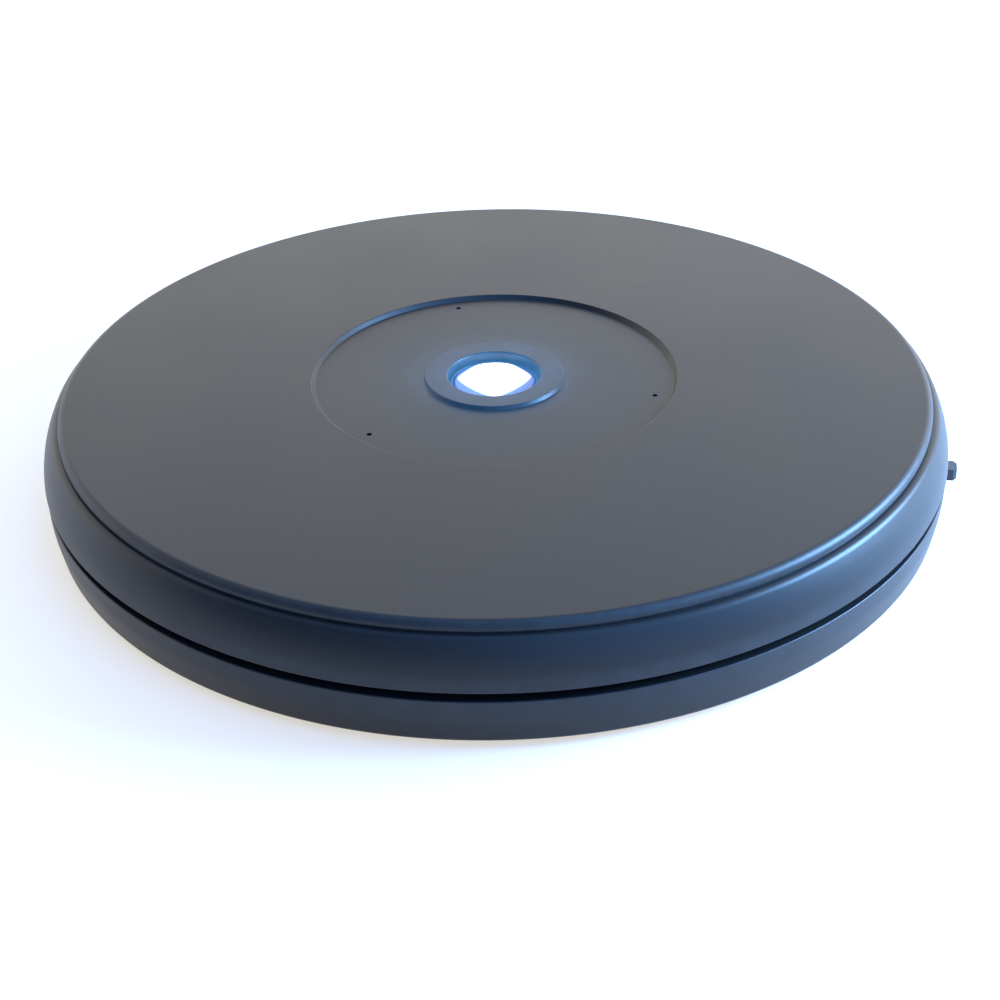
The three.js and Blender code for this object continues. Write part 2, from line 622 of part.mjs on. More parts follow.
function switchKnob() {
  const { width, height, inside, proud, round, travel } = SWITCH;
  const half = width / 2;
  const back = RADIUS - inside;
  const front = RADIUS + proud;
  const outline = new THREE.Shape();
  outline.moveTo(back, -half);
  outline.lineTo(front - round, -half);
  outline.quadraticCurveTo(front, -half, front, round - half);
  outline.lineTo(front, half - round);
  outline.quadraticCurveTo(front, half, front - round, half);
  outline.lineTo(back, half);
  const knob = new THREE.ExtrudeGeometry(outline, { depth: height, bevelEnabled: false, curveSegments: 4 });
  return at(knob, 0, travel / 2, SWITCH.z - height / 2);
}

function dcJack() {
  const { back, halfWidth, halfHeight, shoulder } = JACK;
  const { radius, bore, boreDepth, inset } = JACK_NOSE;
  const nose = RADIUS - inset;
  const bodyFront = RADIUS - shoulder;
  const body = block(back, bodyFront, -halfWidth, halfWidth, JACK.z - halfHeight, JACK.z + halfHeight);
  const barrel = crossRod(radius, bodyFront - 1, nose, JACK.z);
  const socket = crossRod(bore, nose - boreDepth, nose + 1, JACK.z);
  const pinSeat = crossRod(JACK_PIN.radius + FIT, back + 1.5, nose + 1, JACK.z, FACETS.tiny);
  return cut(join(body, barrel), socket, pinSeat);
}

function jackPin() {
  const { radius, length, middle } = JACK_PIN;
  const centre = RADIUS - middle;
  return crossRod(radius, centre - length / 2, centre + length / 2, JACK.z, FACETS.tiny);
}

const switchPlace = facing(SWITCH.angle);
add("switch_body", switchBody(), blackPlastic, switchPlace);
add("switch_knob", switchKnob(), blackPlastic, switchPlace);
const jackPlace = facing(JACK.angle);
add("dc_jack", dcJack(), blackPlastic, jackPlace);
add("jack_pin", jackPin(), steel, jackPlace);

// Electronics: a board on two pillars, and the leads that join it to the switch, socket, motor and lamp.
function circuitBoard() {
  const { x, length, width, bottom, hole } = BOARD;
  const board = block(x - length / 2, x + length / 2, -width / 2, width / 2, bottom, BOARD_TOP);
  const holes = BOARD_SCREW_PLACES.map((place) => at(rod(hole, 0, THROUGH, FACETS.tiny), ...place));
  return cut(board, ...holes);
}

function boardCapacitor() {
  const bottom = BOARD_TOP + FIT;
  const can = rod(CAPACITOR.radius, bottom, bottom + CAPACITOR.height, FACETS.small);
  return at(can, BOARD.x + CAPACITOR.x, CAPACITOR.y);
}

function boardConnector() {
  const { from, to, halfWidth, height } = CONNECTOR;
  const bottom = BOARD_TOP + FIT;
  return block(BOARD.x + from, BOARD.x + to, -halfWidth, halfWidth, bottom, bottom + height);
}

add("circuit_board", circuitBoard(), boardGreen);
BOARD_SCREW_PLACES.forEach((place, i) => {
  const fastener = screw(BOARD_SCREW).rotateX(Math.PI);
  add(`board_screw_${i + 1}`, at(fastener, ...place, BOARD_TOP + FIT), steel);
});
add("board_capacitor", boardCapacitor(), leadBlack);
add("board_connector", boardConnector(), nylon);

// The leads' routes are lists of places along the floor of the base.
const solderZ = BOARD_TOP + FIT + LEAD.radius + LEAD.clearance;
const connectorX = BOARD.x + CONNECTOR.from;
const jackRoute = [
  [...polar(JACK.back - 1.5, JACK.angle), JACK.z],
  [101, 24, 8.2],
  [90, 17, 10.5],
  [82, 14, solderZ],
  [BOARD.x + 11, 13, solderZ],
];
const switchRoute = [
  [...polar(RADIUS - SWITCH_BODY.back - 1.4, SWITCH.angle), SWITCH.z],
  [104, -19, 9],
  [92, -13, 10.8],
  [82, -9, solderZ],
  [BOARD.x + 8, -8, solderZ],
];
const motorRoute = [
  [MOTOR_X + 15.4, -15.4, 8],
  [-24, -22, 7],
  [-8, -31, 6.6],
  [14, -33, 6.6],
  [34, -29, 7.5],
  [47, -22, 11],
  [connectorX, -13, solderZ + 0.6],
  [connectorX + 3, -10.5, solderZ],
];
const ledRoute = [
  [connectorX - 0.6, 0, 12],
  [42, 0, 10.8],
  [28, 0, 10.2],
  [10, 0, 10.4],
  [3, 0, 12],
  [0.4, 0, 16],
  [0, 0, 20],
  [0, 0, LED_BOARD.bottom - FIT],
];
add("jack_lead", lead(jackRoute), leadRed);
add("switch_lead", lead(switchRoute), leadBlack);
add("motor_lead", lead(motorRoute), leadRed);
add("led_lead", lead(ledRoute), leadBlack);

export default stand;
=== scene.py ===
"""Looks of the electric turntable display stand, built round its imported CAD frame.

Lengths in this script are millimetres, and become metres when a mesh is made.
"""
import json
import math

import bmesh
import bpy
from mathutils import Matrix, Quaternion, Vector


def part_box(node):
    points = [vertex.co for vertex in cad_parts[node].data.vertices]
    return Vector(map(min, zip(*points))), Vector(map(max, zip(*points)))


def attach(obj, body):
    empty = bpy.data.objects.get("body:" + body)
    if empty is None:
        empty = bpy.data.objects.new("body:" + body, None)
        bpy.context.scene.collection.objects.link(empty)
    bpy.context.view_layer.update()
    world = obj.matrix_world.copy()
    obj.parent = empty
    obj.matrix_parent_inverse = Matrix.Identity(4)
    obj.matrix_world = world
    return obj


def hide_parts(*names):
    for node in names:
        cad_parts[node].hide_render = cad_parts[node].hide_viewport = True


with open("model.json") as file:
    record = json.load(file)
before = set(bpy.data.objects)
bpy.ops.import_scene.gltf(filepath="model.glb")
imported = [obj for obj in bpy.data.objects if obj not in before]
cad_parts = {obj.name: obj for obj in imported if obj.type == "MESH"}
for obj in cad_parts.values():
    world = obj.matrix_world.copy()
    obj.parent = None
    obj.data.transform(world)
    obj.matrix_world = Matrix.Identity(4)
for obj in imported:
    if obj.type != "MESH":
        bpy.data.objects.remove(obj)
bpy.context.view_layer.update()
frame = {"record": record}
RECORD = frame["record"]
BODY_OF = {node: body for body, nodes in RECORD["behaviour"]["bodies"].items() for node in nodes}
SLOT_OF = {part["node"]: part["material_slot"] for part in RECORD["subparts"]}

MM = 0.001
FULL_TURN = 2 * math.pi
ON_AXIS = 1e-6
FINE = 288  # steps round the large turned pieces
MEDIUM = 96
SMALL = 48
COARSE = 24

CAMERA_PLACE = (0, -439.71, 262.08)
CAMERA_TARGET = (0.79, 0, -9.11)
CAMERA_LENS = 63.99
SENSOR_WIDTH = 36
CAMERA_ROLL = -1.32

STAGE_REACH = 12000
BACKDROP_HEIGHT = 9000
BACKDROP_WALL = 100
TABLE_GLOW = (0.62, 0.57, 0.46)
LEFT_LIGHT = (0.12, 0.24, 0.52)
RIGHT_LIGHT = (0.50, 1.22, 2.90)
BACK_LIGHT = (1.42, 1.40, 1.35)
HORIZON_LIGHT = (2.38, 2.34, 2.26)
WINDOW_LIGHT = (0.25, 0.53, 1.0)

LED_STRENGTH = 0.7
COVER_STRENGTH = 2.6
GLOW_HALF_WIDTH = 10.4
GLOW_HALF_DEPTH = 11.6
GLOW_OFFSET = 2.0
GLOW_SQUARENESS = 1.3  # 1 makes the lit patch a diamond, 2 an ellipse
# colour of the painted lamp glow that the mouldings emit
PAINTED_GLOW_COLOUR = (0.10, 0.42, 1.0)


# ---------------------------------------------------------------- sizes

def low(node):
    """Lowest corner of a CAD node, in millimetres."""
    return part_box(node)[0] / MM


def high(node):
    """Highest corner of a CAD node, in millimetres."""
    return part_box(node)[1] / MM


def middle(node):
    return (low(node) + high(node)) / 2


def numbered(stem, count):
    return [f"{stem}_{i + 1}" for i in range(count)]


def polar(reach, degrees):
    angle = math.radians(degrees)
    return reach * math.cos(angle), reach * math.sin(angle)


FIT = 0.3  # the gap between pieces that rest on each other or slide
WALL = 2.4
SCREW_BORE = 1.5
PILLAR_RADIUS = 3.6
RADIUS = high("platter_top").x
FACE = high("platter_top").z
BASE_LOW = low("base_ring").z
PLATE_LOW = low("bottom_plate").z
FLOOR = PLATE_LOW + WALL
SKIRT = 17.0
RIM_TOP = 14.6
RECESS = FACE - 1.2
BOSS = RECESS + 1.0
RECESS_RADIUS = 50.8
BOSS_RADIUS = 19.6
WELL_RADIUS = 13.0
WELL_FLOOR = high("centre_post").z
HUB_BORE = 11.8
POST_RADIUS = 10.0
SLOT_Z = middle("switch_knob").z
JACK_Z = middle("jack_pin").z
SWITCH_ANGLE = -10
JACK_ANGLE = 14
ROLLER_REACH = 98.0
ROLLER_Z = middle("roller_1").z
ROLLER_ANGLES = [45, 135, 225, 315]
DIMPLE_ANGLES = [103, 223, 343]
DIMPLE_REACH = 45.6
DIMPLE_RADIUS = 0.75
GROOVE_REACH = 119.1
EDGE_REACH = 119.6
TRACK = (94.5, 101.5, 27.0)  # inner and outer radius and height of the rollers' track
GEAR_SCREW_PLACES = [polar(25, angle) for angle in (30, 150, 270)]
PILLAR_PLACES = [polar(117.4, angle) for angle in (30, 120, 210, 300)]
POST_SCREW_PLACES = [polar(16.4, angle) for angle in (60, 180, 300)]
FOOT_PLACES = [polar(103, angle) for angle in (0, 90, 180, 270)]
EAR_PLACES = [tuple(middle(node).xy) for node in numbered("motor_screw", 2)]
BOARD_SCREW_PLACES = [tuple(middle(node).xy) for node in numbered("board_screw", 2)]
EAR_LOW = 15.9
EAR_HIGH = 17.9
EAR_RADIUS = 4.5


# ---------------------------------------------------------------- shapes

def rounded(corners, step_degrees=11, step_length=1.5):
    """A closed outline through corners (x, y, fillet radius), with fillet steps no longer than given."""
    points = []
    for i, (x, y, fillet) in enumerate(corners):
        here = Vector((x, y))
        if fillet == 0:
            points.append((x, y))
            continue
        before = (Vector(corners[i - 1][:2]) - here).normalized()
        after = (Vector(corners[(i + 1) % len(corners)][:2]) - here).normalized()
        opening = before.angle(after)
        reach = fillet / math.tan(opening / 2)
        centre = here + (before + after).normalized() * fillet / math.sin(opening / 2)
        first = here + before * reach - centre
        last = here + after * reach - centre
        turn = math.atan2(first.x * last.y - first.y * last.x, first.dot(last))
        steps = math.ceil(max(math.degrees(abs(turn)) / step_degrees, abs(turn) * fillet / step_length))
        for step in range(steps + 1):
            arm = Matrix.Rotation(turn * step / steps, 2) @ first
            points.append(tuple(centre + arm))
    return points


def circle(radius, steps, x=0.0, y=0.0):
    angles = [FULL_TURN * i / steps for i in range(steps)]
    return [(x + radius * math.cos(a), y + radius * math.sin(a)) for a in angles]


def made(maker, name):
    """The object that a bmesh has been building."""
    bmesh.ops.recalc_face_normals(maker, faces=maker.faces)
    mesh = bpy.data.meshes.new(name)
    maker.to_mesh(mesh)
    maker.free()
    piece = bpy.data.objects.new(name, mesh)
    bpy.context.scene.collection.objects.link(piece)
    return piece


def lathe(name, outline, steps=SMALL, shape=None):
    """A closed outline of (radius, height) turned about Z. A shape function may vary the radius."""
    maker = bmesh.new()
    angles = [FULL_TURN * i / steps for i in range(steps)]
    rings = []
    for radius, height in outline:
        if radius < ON_AXIS:
            rings.append([maker.verts.new((0, 0, height * MM))] * steps)
            continue
        ring = []
        for angle in angles:
            reach = (shape(radius, height, angle) if shape else radius) * MM
            ring.append(maker.verts.new((reach * math.cos(angle), reach * math.sin(angle), height * MM)))
        rings.append(ring)
    for ring, following in zip(rings, rings[1:] + rings[:1]):
        for i in range(steps):
            j = (i + 1) % steps
            corners = list(dict.fromkeys((ring[i], ring[j], following[j], following[i])))
            if len(corners) > 2:
                maker.faces.new(corners)
    return made(maker, name)


def rod(radius, bottom, top, place=(0, 0), steps=SMALL, fillet=0):
    """An upright rod, used alone or to cut and join."""
    outline = rounded([(0, bottom, 0), (radius, bottom, fillet), (radius, top, fillet), (0, top, 0)])
    return shifted(lathe("rod", outline, steps), *place)


def slab(lowest, highest, fillet=0.0, segments=3):
    """A box between two corners, with its edges rounded."""
    maker = bmesh.new()
    bmesh.ops.create_cube(maker, size=1)
    span = Vector(highest) - Vector(lowest)
    centre = (Vector(highest) + Vector(lowest)) / 2
    bmesh.ops.scale(maker, verts=maker.verts, vec=span * MM)
    bmesh.ops.translate(maker, verts=maker.verts, vec=centre * MM)
    if fillet:
        bmesh.ops.bevel(
            maker, geom=maker.edges[:], offset=fillet * MM, segments=segments, profile=0.5, affect="EDGES"
        )
    return made(maker, "slab")


def plate(name, outlines, bottom, top):
    """A flat piece: the first outline with the others as holes, between two heights."""
    maker = bmesh.new()
    for outline in outlines:
        corners = [maker.verts.new((x * MM, y * MM, bottom * MM)) for x, y in outline]
        for corner, following in zip(corners, corners[1:] + corners[:1]):
            maker.edges.new((corner, following))
    bmesh.ops.triangle_fill(maker, edges=maker.edges[:], use_beauty=True, use_dissolve=False)
    grown = bmesh.ops.extrude_face_region(maker, geom=maker.faces[:])
    raised = [item for item in grown["geom"] if isinstance(item, bmesh.types.BMVert)]
    bmesh.ops.translate(maker, verts=raised, vec=(0, 0, (top - bottom) * MM))
    return made(maker, name)


def shifted(piece, x=0.0, y=0.0, z=0.0):
    piece.data.transform(Matrix.Translation(Vector((x, y, z)) * MM))
    return piece


def spun(piece, degrees, axis="Z"):
    piece.data.transform(Matrix.Rotation(math.radians(degrees), 4, axis))
    return piece


def combined(body, operation, tools):
    """The body cut by the tools (DIFFERENCE) or joined with them (UNION). The tools are used up."""
    group = bpy.data.collections.new("tools")
    for tool in tools:
        group.objects.link(tool)
    modifier = body.modifiers.new("combined", "BOOLEAN")
    modifier.operand_type = "COLLECTION"
    modifier.collection = group
    modifier.operation = operation
    modifier.solver = "EXACT"
    bpy.context.scene.collection.children.link(group)
    bpy.context.view_layer.update()
    graph = bpy.context.evaluated_depsgraph_get()
    result = bpy.data.meshes.new_from_object(body.evaluated_get(graph))
    body.modifiers.clear()
    body.data = result
    for tool in tools:
        bpy.data.objects.remove(tool)
    bpy.data.collections.remove(group)
    return body


def cut(body, *tools):
    return combined(body, "DIFFERENCE", tools)


def join(body, *tools):
    return combined(body, "UNION", tools)


def softened(piece, width, limit=50):
    """Small rounded edges wherever faces meet at more than the limit."""
    bevel = piece.modifiers.new("edges", "BEVEL")
    bevel.width = width * MM
    bevel.segments = 2
    bevel.limit_method = "ANGLE"
    bevel.angle_limit = math.radians(limit)
    return piece


def stand_in(piece, node):
    """The piece takes a CAD node's place, with that node's body and finish."""
    piece.name = f"{node}_fine"
    piece.data.name = piece.name
    if piece.type == "MESH":
        piece.data.shade_smooth()
        piece.data.set_sharp_from_angle(angle=math.radians(35))
        normals = piece.modifiers.new("normals", "WEIGHTED_NORMAL")
        normals.keep_sharp = True
    slot_name = SLOT_OF[node]
    piece.data.materials.clear()
    piece.data.materials.append(FINISHES[slot_name])
    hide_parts(node)
    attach(piece, BODY_OF[node])
    return piece


# ---------------------------------------------------------------- finishes

class Shading:
    """Arithmetic on the sockets of a node tree."""

    def __init__(self, tree):
        self.tree = tree

    def link(self, source, socket):
        self.tree.links.new(source, socket)

    def axes(self, vector):
        node = self.tree.nodes.new("ShaderNodeSeparateXYZ")
        self.link(vector, node.inputs["Vector"])
        return node.outputs

    def remap(self, value, start, end, low_value, high_value, smooth=True):
        node = self.tree.nodes.new("ShaderNodeMapRange")
        node.interpolation_type = "SMOOTHSTEP" if smooth else "LINEAR"
        for socket, number in zip(node.inputs[1:5], (start, end, low_value, high_value)):
            socket.default_value = number
        self.link(value, node.inputs["Value"])
        return node.outputs["Result"]

    def math(self, operation, first, second=0.0):
        node = self.tree.nodes.new("ShaderNodeMath")
        node.operation = operation
        for socket, value in zip(node.inputs, (first, second)):
            if isinstance(value, (int, float)):
                socket.default_value = value
            else:
                self.link(value, socket)
        return node.outputs["Value"]

    def mix(self, factor, first, second):
        """Colour from first to second as the factor goes from 0 to 1."""
        node = self.tree.nodes.new("ShaderNodeMix")
        node.data_type = "RGBA"
        self.link(factor, node.inputs["Factor"])
        for socket, value in zip((node.inputs[6], node.inputs[7]), (first, second)):
            if isinstance(value, tuple):
                socket.default_value = (*value, 1)
            else:
                self.link(value, socket)
        return node.outputs[2]


class Finish(Shading):
    """A Principled material whose colour, roughness and bump come from procedural textures."""

    def __init__(self, name, ior=1.47):
        self.material = bpy.data.materials.new(name)
        self.material.use_nodes = True
        super().__init__(self.material.node_tree)
        self.shader = self.tree.nodes["Principled BSDF"]
        self.shader.inputs["IOR"].default_value = ior
        self.place = self.tree.nodes.new("ShaderNodeTexCoord").outputs["Object"]
        self.seed = 0.0
        self.relief = None

    def noise(self, size, detail=2.0, stretch=(1, 1, 1), turn=(0, 0, 0)):
        """Smooth noise from 0 to 1, its blobs about size millimetres across and longer where stretched."""
        self.seed += 7.3
        mapping = self.tree.nodes.new("ShaderNodeMapping")
        mapping.inputs["Rotation"].default_value = [math.radians(angle) for angle in turn]
        mapping.inputs["Scale"].default_value = [1 / (size * MM * along) for along in stretch]
        self.link(self.place, mapping.inputs["Vector"])
        texture = self.tree.nodes.new("ShaderNodeTexNoise")
        texture.noise_dimensions = "4D"
        texture.inputs["W"].default_value = self.seed
        texture.inputs["Scale"].default_value = 1.0
        texture.inputs["Detail"].default_value = detail
        self.link(mapping.outputs["Vector"], texture.inputs["Vector"])
        return texture.outputs["Fac"]

    def cells(self, size):
        """Distance from the nearest of scattered points about size millimetres apart, in units of size."""
        texture = self.tree.nodes.new("ShaderNodeTexVoronoi")
        texture.inputs["Scale"].default_value = 1 / (size * MM)
        self.link(self.place, texture.inputs["Vector"])
        return texture.outputs["Distance"]

    def axis_distance(self):
        """Distance from the stand's axis, in millimetres."""
        axes = self.axes(self.place)
        across = self.math("MULTIPLY", axes["X"], axes["X"])
        along = self.math("MULTIPLY", axes["Y"], axes["Y"])
        return self.math("DIVIDE", self.math("SQRT", self.math("ADD", across, along)), MM)

    def facing_up(self):
        """1 on faces that look up, 0 on walls and undersides."""
        normal = self.tree.nodes.new("ShaderNodeNewGeometry").outputs["Normal"]
        return self.remap(self.axes(normal)["Z"], 0.6, 0.95, 0, 1)

    def colour(self, source):
        self.link(source, self.shader.inputs["Base Color"])

    def roughness(self, source):
        self.link(source, self.shader.inputs["Roughness"])

    def bump(self, height, depth, strength=1.0):
        """Adds a relief of that depth in millimetres."""
        node = self.tree.nodes.new("ShaderNodeBump")
        node.inputs["Strength"].default_value = strength
        node.inputs["Distance"].default_value = depth * MM
        self.link(height, node.inputs["Height"])
        if self.relief:
            self.link(self.relief, node.inputs["Normal"])
        self.relief = node.outputs["Normal"]
        self.link(self.relief, self.shader.inputs["Normal"])


def add_painted_lamp_glow(finish):
    """Painted lamp light: a blue glow emitted by the surface itself, strong on the well's wall and fading
    outwards over the face.
    """
    reach = finish.axis_distance()
    wall = finish.remap(reach, WELL_RADIUS, WELL_RADIUS + 0.5, 0.20, 0)
    near = finish.remap(reach, WELL_RADIUS, BOSS_RADIUS + 10, 0.10, 0)
    far = finish.remap(reach, WELL_RADIUS, RECESS_RADIUS, 0.03, 0, smooth=False)
    uneven = finish.remap(finish.noise(6, detail=3), 0.3, 0.7, 0.85, 1.15)
    height = finish.math("DIVIDE", finish.axes(finish.place)["Z"], MM)
    above_floor = finish.remap(height, WELL_FLOOR + 1, WELL_FLOOR + 5, 0, 1)
    total = finish.math("ADD", finish.math("ADD", wall, near), far)
    strength = finish.math("MULTIPLY", finish.math("MULTIPLY", total, uneven), above_floor)
    # painted glow: the surface itself emits the lamp's blue light
    finish.shader.inputs["Emission Color"].default_value = (*PAINTED_GLOW_COLOUR, 1)
    finish.link(strength, finish.shader.inputs["Emission Strength"])


def satin_shell():
    """Satin black mouldings: a fine spark-eroded texture, faint scuffs and dust, and edges rubbed paler."""
    finish = Finish("satin_shell", ior=1.37)
    patches = finish.noise(38, detail=4)
    grain = finish.noise(0.42, detail=2)
    peel = finish.noise(1.9, detail=1)
    scuff_lines = finish.noise(1, detail=3, stretch=(26, 0.5, 26), turn=(0, 0, 24))
    scuffs = finish.remap(scuff_lines, 0.62, 0.72, 0, 1)
    wipe_lines = finish.noise(1, detail=3, stretch=(0.6, 34, 34), turn=(0, 0, -31))
    wipes = finish.remap(wipe_lines, 0.63, 0.74, 0, 1)
    marks = finish.math("MAXIMUM", scuffs, wipes)
    reach = finish.axis_distance()
    from_rim = finish.math("ABSOLUTE", finish.math("SUBTRACT", reach, GROOVE_REACH - 0.1))
    rim = finish.remap(from_rim, 0.3, 1.4, 1, 0)
    lip = finish.remap(reach, RADIUS - 0.7, RADIUS - 0.2, 0, 1)
    rubbed = finish.math("MULTIPLY", finish.math("MAXIMUM", rim, lip), finish.noise(5, detail=4))
    dust_spots = finish.remap(finish.cells(7.5), 0.012, 0.03, 1, 0)
    dust = finish.math("MULTIPLY", dust_spots, finish.facing_up())
    body = finish.mix(patches, (0.0070, 0.0072, 0.0076), (0.0100, 0.0102, 0.0107))
    worn = finish.mix(finish.math("MULTIPLY", rubbed, 0.4), body, (0.05, 0.052, 0.056))
    finish.colour(finish.mix(finish.math("MULTIPLY", dust, 0.5), worn, (0.22, 0.22, 0.21)))
    base = finish.remap(patches, 0.3, 0.7, 0.35, 0.40, smooth=False)
    grained = finish.math("ADD", base, finish.math("MULTIPLY", grain, 0.03))
    marked = finish.math("ADD", grained, finish.math("MULTIPLY", marks, 0.05))
    finish.roughness(finish.math("ADD", marked, finish.math("MULTIPLY", rubbed, 0.06)))
    finish.bump(peel, 0.012, 0.6)
    finish.bump(grain, 0.011, 1.0)
    finish.bump(marks, 0.002, 0.5)
    # painted lamp glow emitted by the shell
    add_painted_lamp_glow(finish)
    return finish.material


def moulded(name, dark, light, roughness, grain=0.5, depth=0.01, spill=False):
    """Plain moulded plastic: a slight mottle, an even grain and a little variation of gloss."""
    finish = Finish(name)
    mottle = finish.noise(9, detail=3)
    texture = finish.noise(grain, detail=2)
    finish.colour(finish.mix(mottle, dark, light))
    varied = finish.remap(mottle, 0.3, 0.7, roughness - 0.05, roughness + 0.05, smooth=False)
    finish.roughness(finish.math("ADD", varied, finish.math("MULTIPLY", texture, 0.06)))
    finish.bump(texture, depth)
    # with spill, the surface emits a painted lamp glow
    if spill:
        add_painted_lamp_glow(finish)
    return finish.material


def foot_rubber():
    """Soft black rubber with a dusty bloom."""
    finish = Finish("foot_rubber", ior=1.5)
    bloom = finish.noise(2.4, detail=5)
    pores = finish.noise(0.3, detail=3)
    finish.colour(finish.mix(bloom, (0.010, 0.010, 0.011), (0.034, 0.033, 0.032)))
    finish.roughness(finish.remap(bloom, 0.3, 0.7, 0.72, 0.9))
    finish.bump(pores, 0.02)
    return finish.material


def zinc_steel():
    """Zinc-plated steel: spangled, brushed along Z, with darker stains."""
    finish = Finish("zinc_steel")
    finish.shader.inputs["Metallic"].default_value = 1.0
    stains = finish.noise(6, detail=5)
    brushed = finish.noise(0.12, detail=2, stretch=(1, 1, 14))
    finish.colour(finish.mix(stains, (0.42, 0.43, 0.44), (0.68, 0.69, 0.70)))
    varied = finish.remap(stains, 0.3, 0.7, 0.24, 0.40)
    finish.roughness(finish.math("ADD", varied, finish.math("MULTIPLY", brushed, 0.1)))
    finish.bump(brushed, 0.004)
    return finish.material


def circuit_laminate():
    """Green solder mask with copper tracks faintly raised under it."""
    finish = Finish("circuit_laminate", ior=1.5)
    across = finish.noise(1.0, detail=0, stretch=(9, 1.1, 9))
    along = finish.noise(1.0, detail=0, stretch=(1.1, 9, 9))
    across_tracks = finish.remap(across, 0.54, 0.57, 0, 1)
    along_tracks = finish.remap(along, 0.6, 0.63, 0, 1)
    tracks = finish.math("MAXIMUM", across_tracks, along_tracks)
    weave = finish.noise(0.25, detail=1)
    finish.colour(finish.mix(tracks, (0.008, 0.055, 0.022), (0.020, 0.13, 0.050)))
    finish.roughness(finish.remap(weave, 0.3, 0.7, 0.28, 0.4))
    finish.bump(tracks, 0.03)
    finish.bump(weave, 0.006)
    return finish.material


def led_lamp():
    """Lit resin: brightest at the crown, bluer towards the collar."""
    finish = Finish("led_lamp")
    swirl = finish.noise(0.9, detail=2)
    dome = low("led_1").z, high("led_1").z - 0.1
    level = finish.math("DIVIDE", finish.axes(finish.place)["Z"], MM)
    height = finish.remap(level, *dome, 0, 1)
    finish.colour(finish.mix(height, (0.55, 0.72, 0.95), (0.92, 0.96, 1.0)))
    finish.roughness(finish.remap(swirl, 0.3, 0.7, 0.1, 0.2))
    finish.bump(swirl, 0.01)
    glow = finish.mix(height, (0.35, 0.62, 1.0), (0.85, 0.94, 1.0))
    finish.link(glow, finish.shader.inputs["Emission Color"])
    finish.shader.inputs["Emission Strength"].default_value = LED_STRENGTH
    return finish.material


def clear_cover():
    """Clear plastic over the lamp: a white rounded diamond where the LEDs shine through, blue round it, and
    a painted glow that makes the cover's own colour lighter blue near the diamond.
    """
    finish = Finish("clear_cover", ior=1.46)
    finish.shader.inputs["Transmission Weight"].default_value = 0.25
    ripple = finish.noise(1.4, detail=2)
    axes = finish.axes(finish.place)
    centred = finish.math("SUBTRACT", axes["Y"], GLOW_OFFSET * MM)
    across = finish.math("ABSOLUTE", finish.math("DIVIDE", axes["X"], GLOW_HALF_WIDTH * MM))
    along = finish.math("ABSOLUTE", finish.math("DIVIDE", centred, GLOW_HALF_DEPTH * MM))
    wide = finish.math("POWER", across, GLOW_SQUARENESS)
    deep = finish.math("POWER", along, GLOW_SQUARENESS)
    spread = finish.math("ADD", wide, deep)
    hot = finish.remap(spread, 0.90, 1.02, 1, 0)
    halo = finish.remap(spread, 1.0, 1.8, 1, 0.45)
    # painted glow: the base colour is lighter blue near the lit diamond
    finish.colour(finish.mix(halo, (0.03, 0.08, 0.20), (0.06, 0.13, 0.27)))
    finish.roughness(finish.remap(ripple, 0.3, 0.7, 0.08, 0.16))
    finish.bump(ripple, 0.01)
    glow = finish.mix(hot, (0.012, 0.045, 0.15), (1.0, 1.0, 1.0))
    fading = finish.mix(halo, (0.0, 0.0, 0.0), glow)
    finish.link(fading, finish.shader.inputs["Emission Color"])
    finish.shader.inputs["Emission Strength"].default_value = COVER_STRENGTH
    return finish.material


FINISHES = {
    "satin_shell": satin_shell(),
    # black_plastic carries the painted lamp glow (spill=True)
    "black_plastic": moulded(
        "black_plastic", (0.014, 0.014, 0.015), (0.026, 0.026, 0.027), 0.48, spill=True
    ),
    "switch_plastic": moulded(
        "switch_plastic", (0.020, 0.021, 0.023), (0.034, 0.035, 0.038), 0.42, grain=0.3
    ),
    "foot_rubber": foot_rubber(),
    "nylon": moulded("nylon", (0.66, 0.64, 0.57), (0.78, 0.76, 0.70), 0.45),
    "acetal": moulded("acetal", (0.74, 0.73, 0.70), (0.84, 0.83, 0.80), 0.33, depth=0.005),
    "zinc_steel": zinc_steel(),
    "circuit_laminate": circuit_laminate(),
    "lamp_laminate": moulded("lamp_laminate", (0.70, 0.73, 0.76), (0.82, 0.85, 0.88), 0.35, depth=0.005),
    "led_lamp": led_lamp(),
    "clear_cover": clear_cover(),
    "capacitor_sleeve": moulded("capacitor_sleeve", (0.010, 0.014, 0.035), (0.018, 0.024, 0.055), 0.3),
    "lead_red": moulded("lead_red", (0.22, 0.012, 0.012), (0.34, 0.022, 0.020), 0.5, grain=0.7),
    "lead_black": moulded("lead_black", (0.010, 0.010, 0.011), (0.020, 0.020, 0.021), 0.5, grain=0.7),
}


# ---------------------------------------------------------------- platter

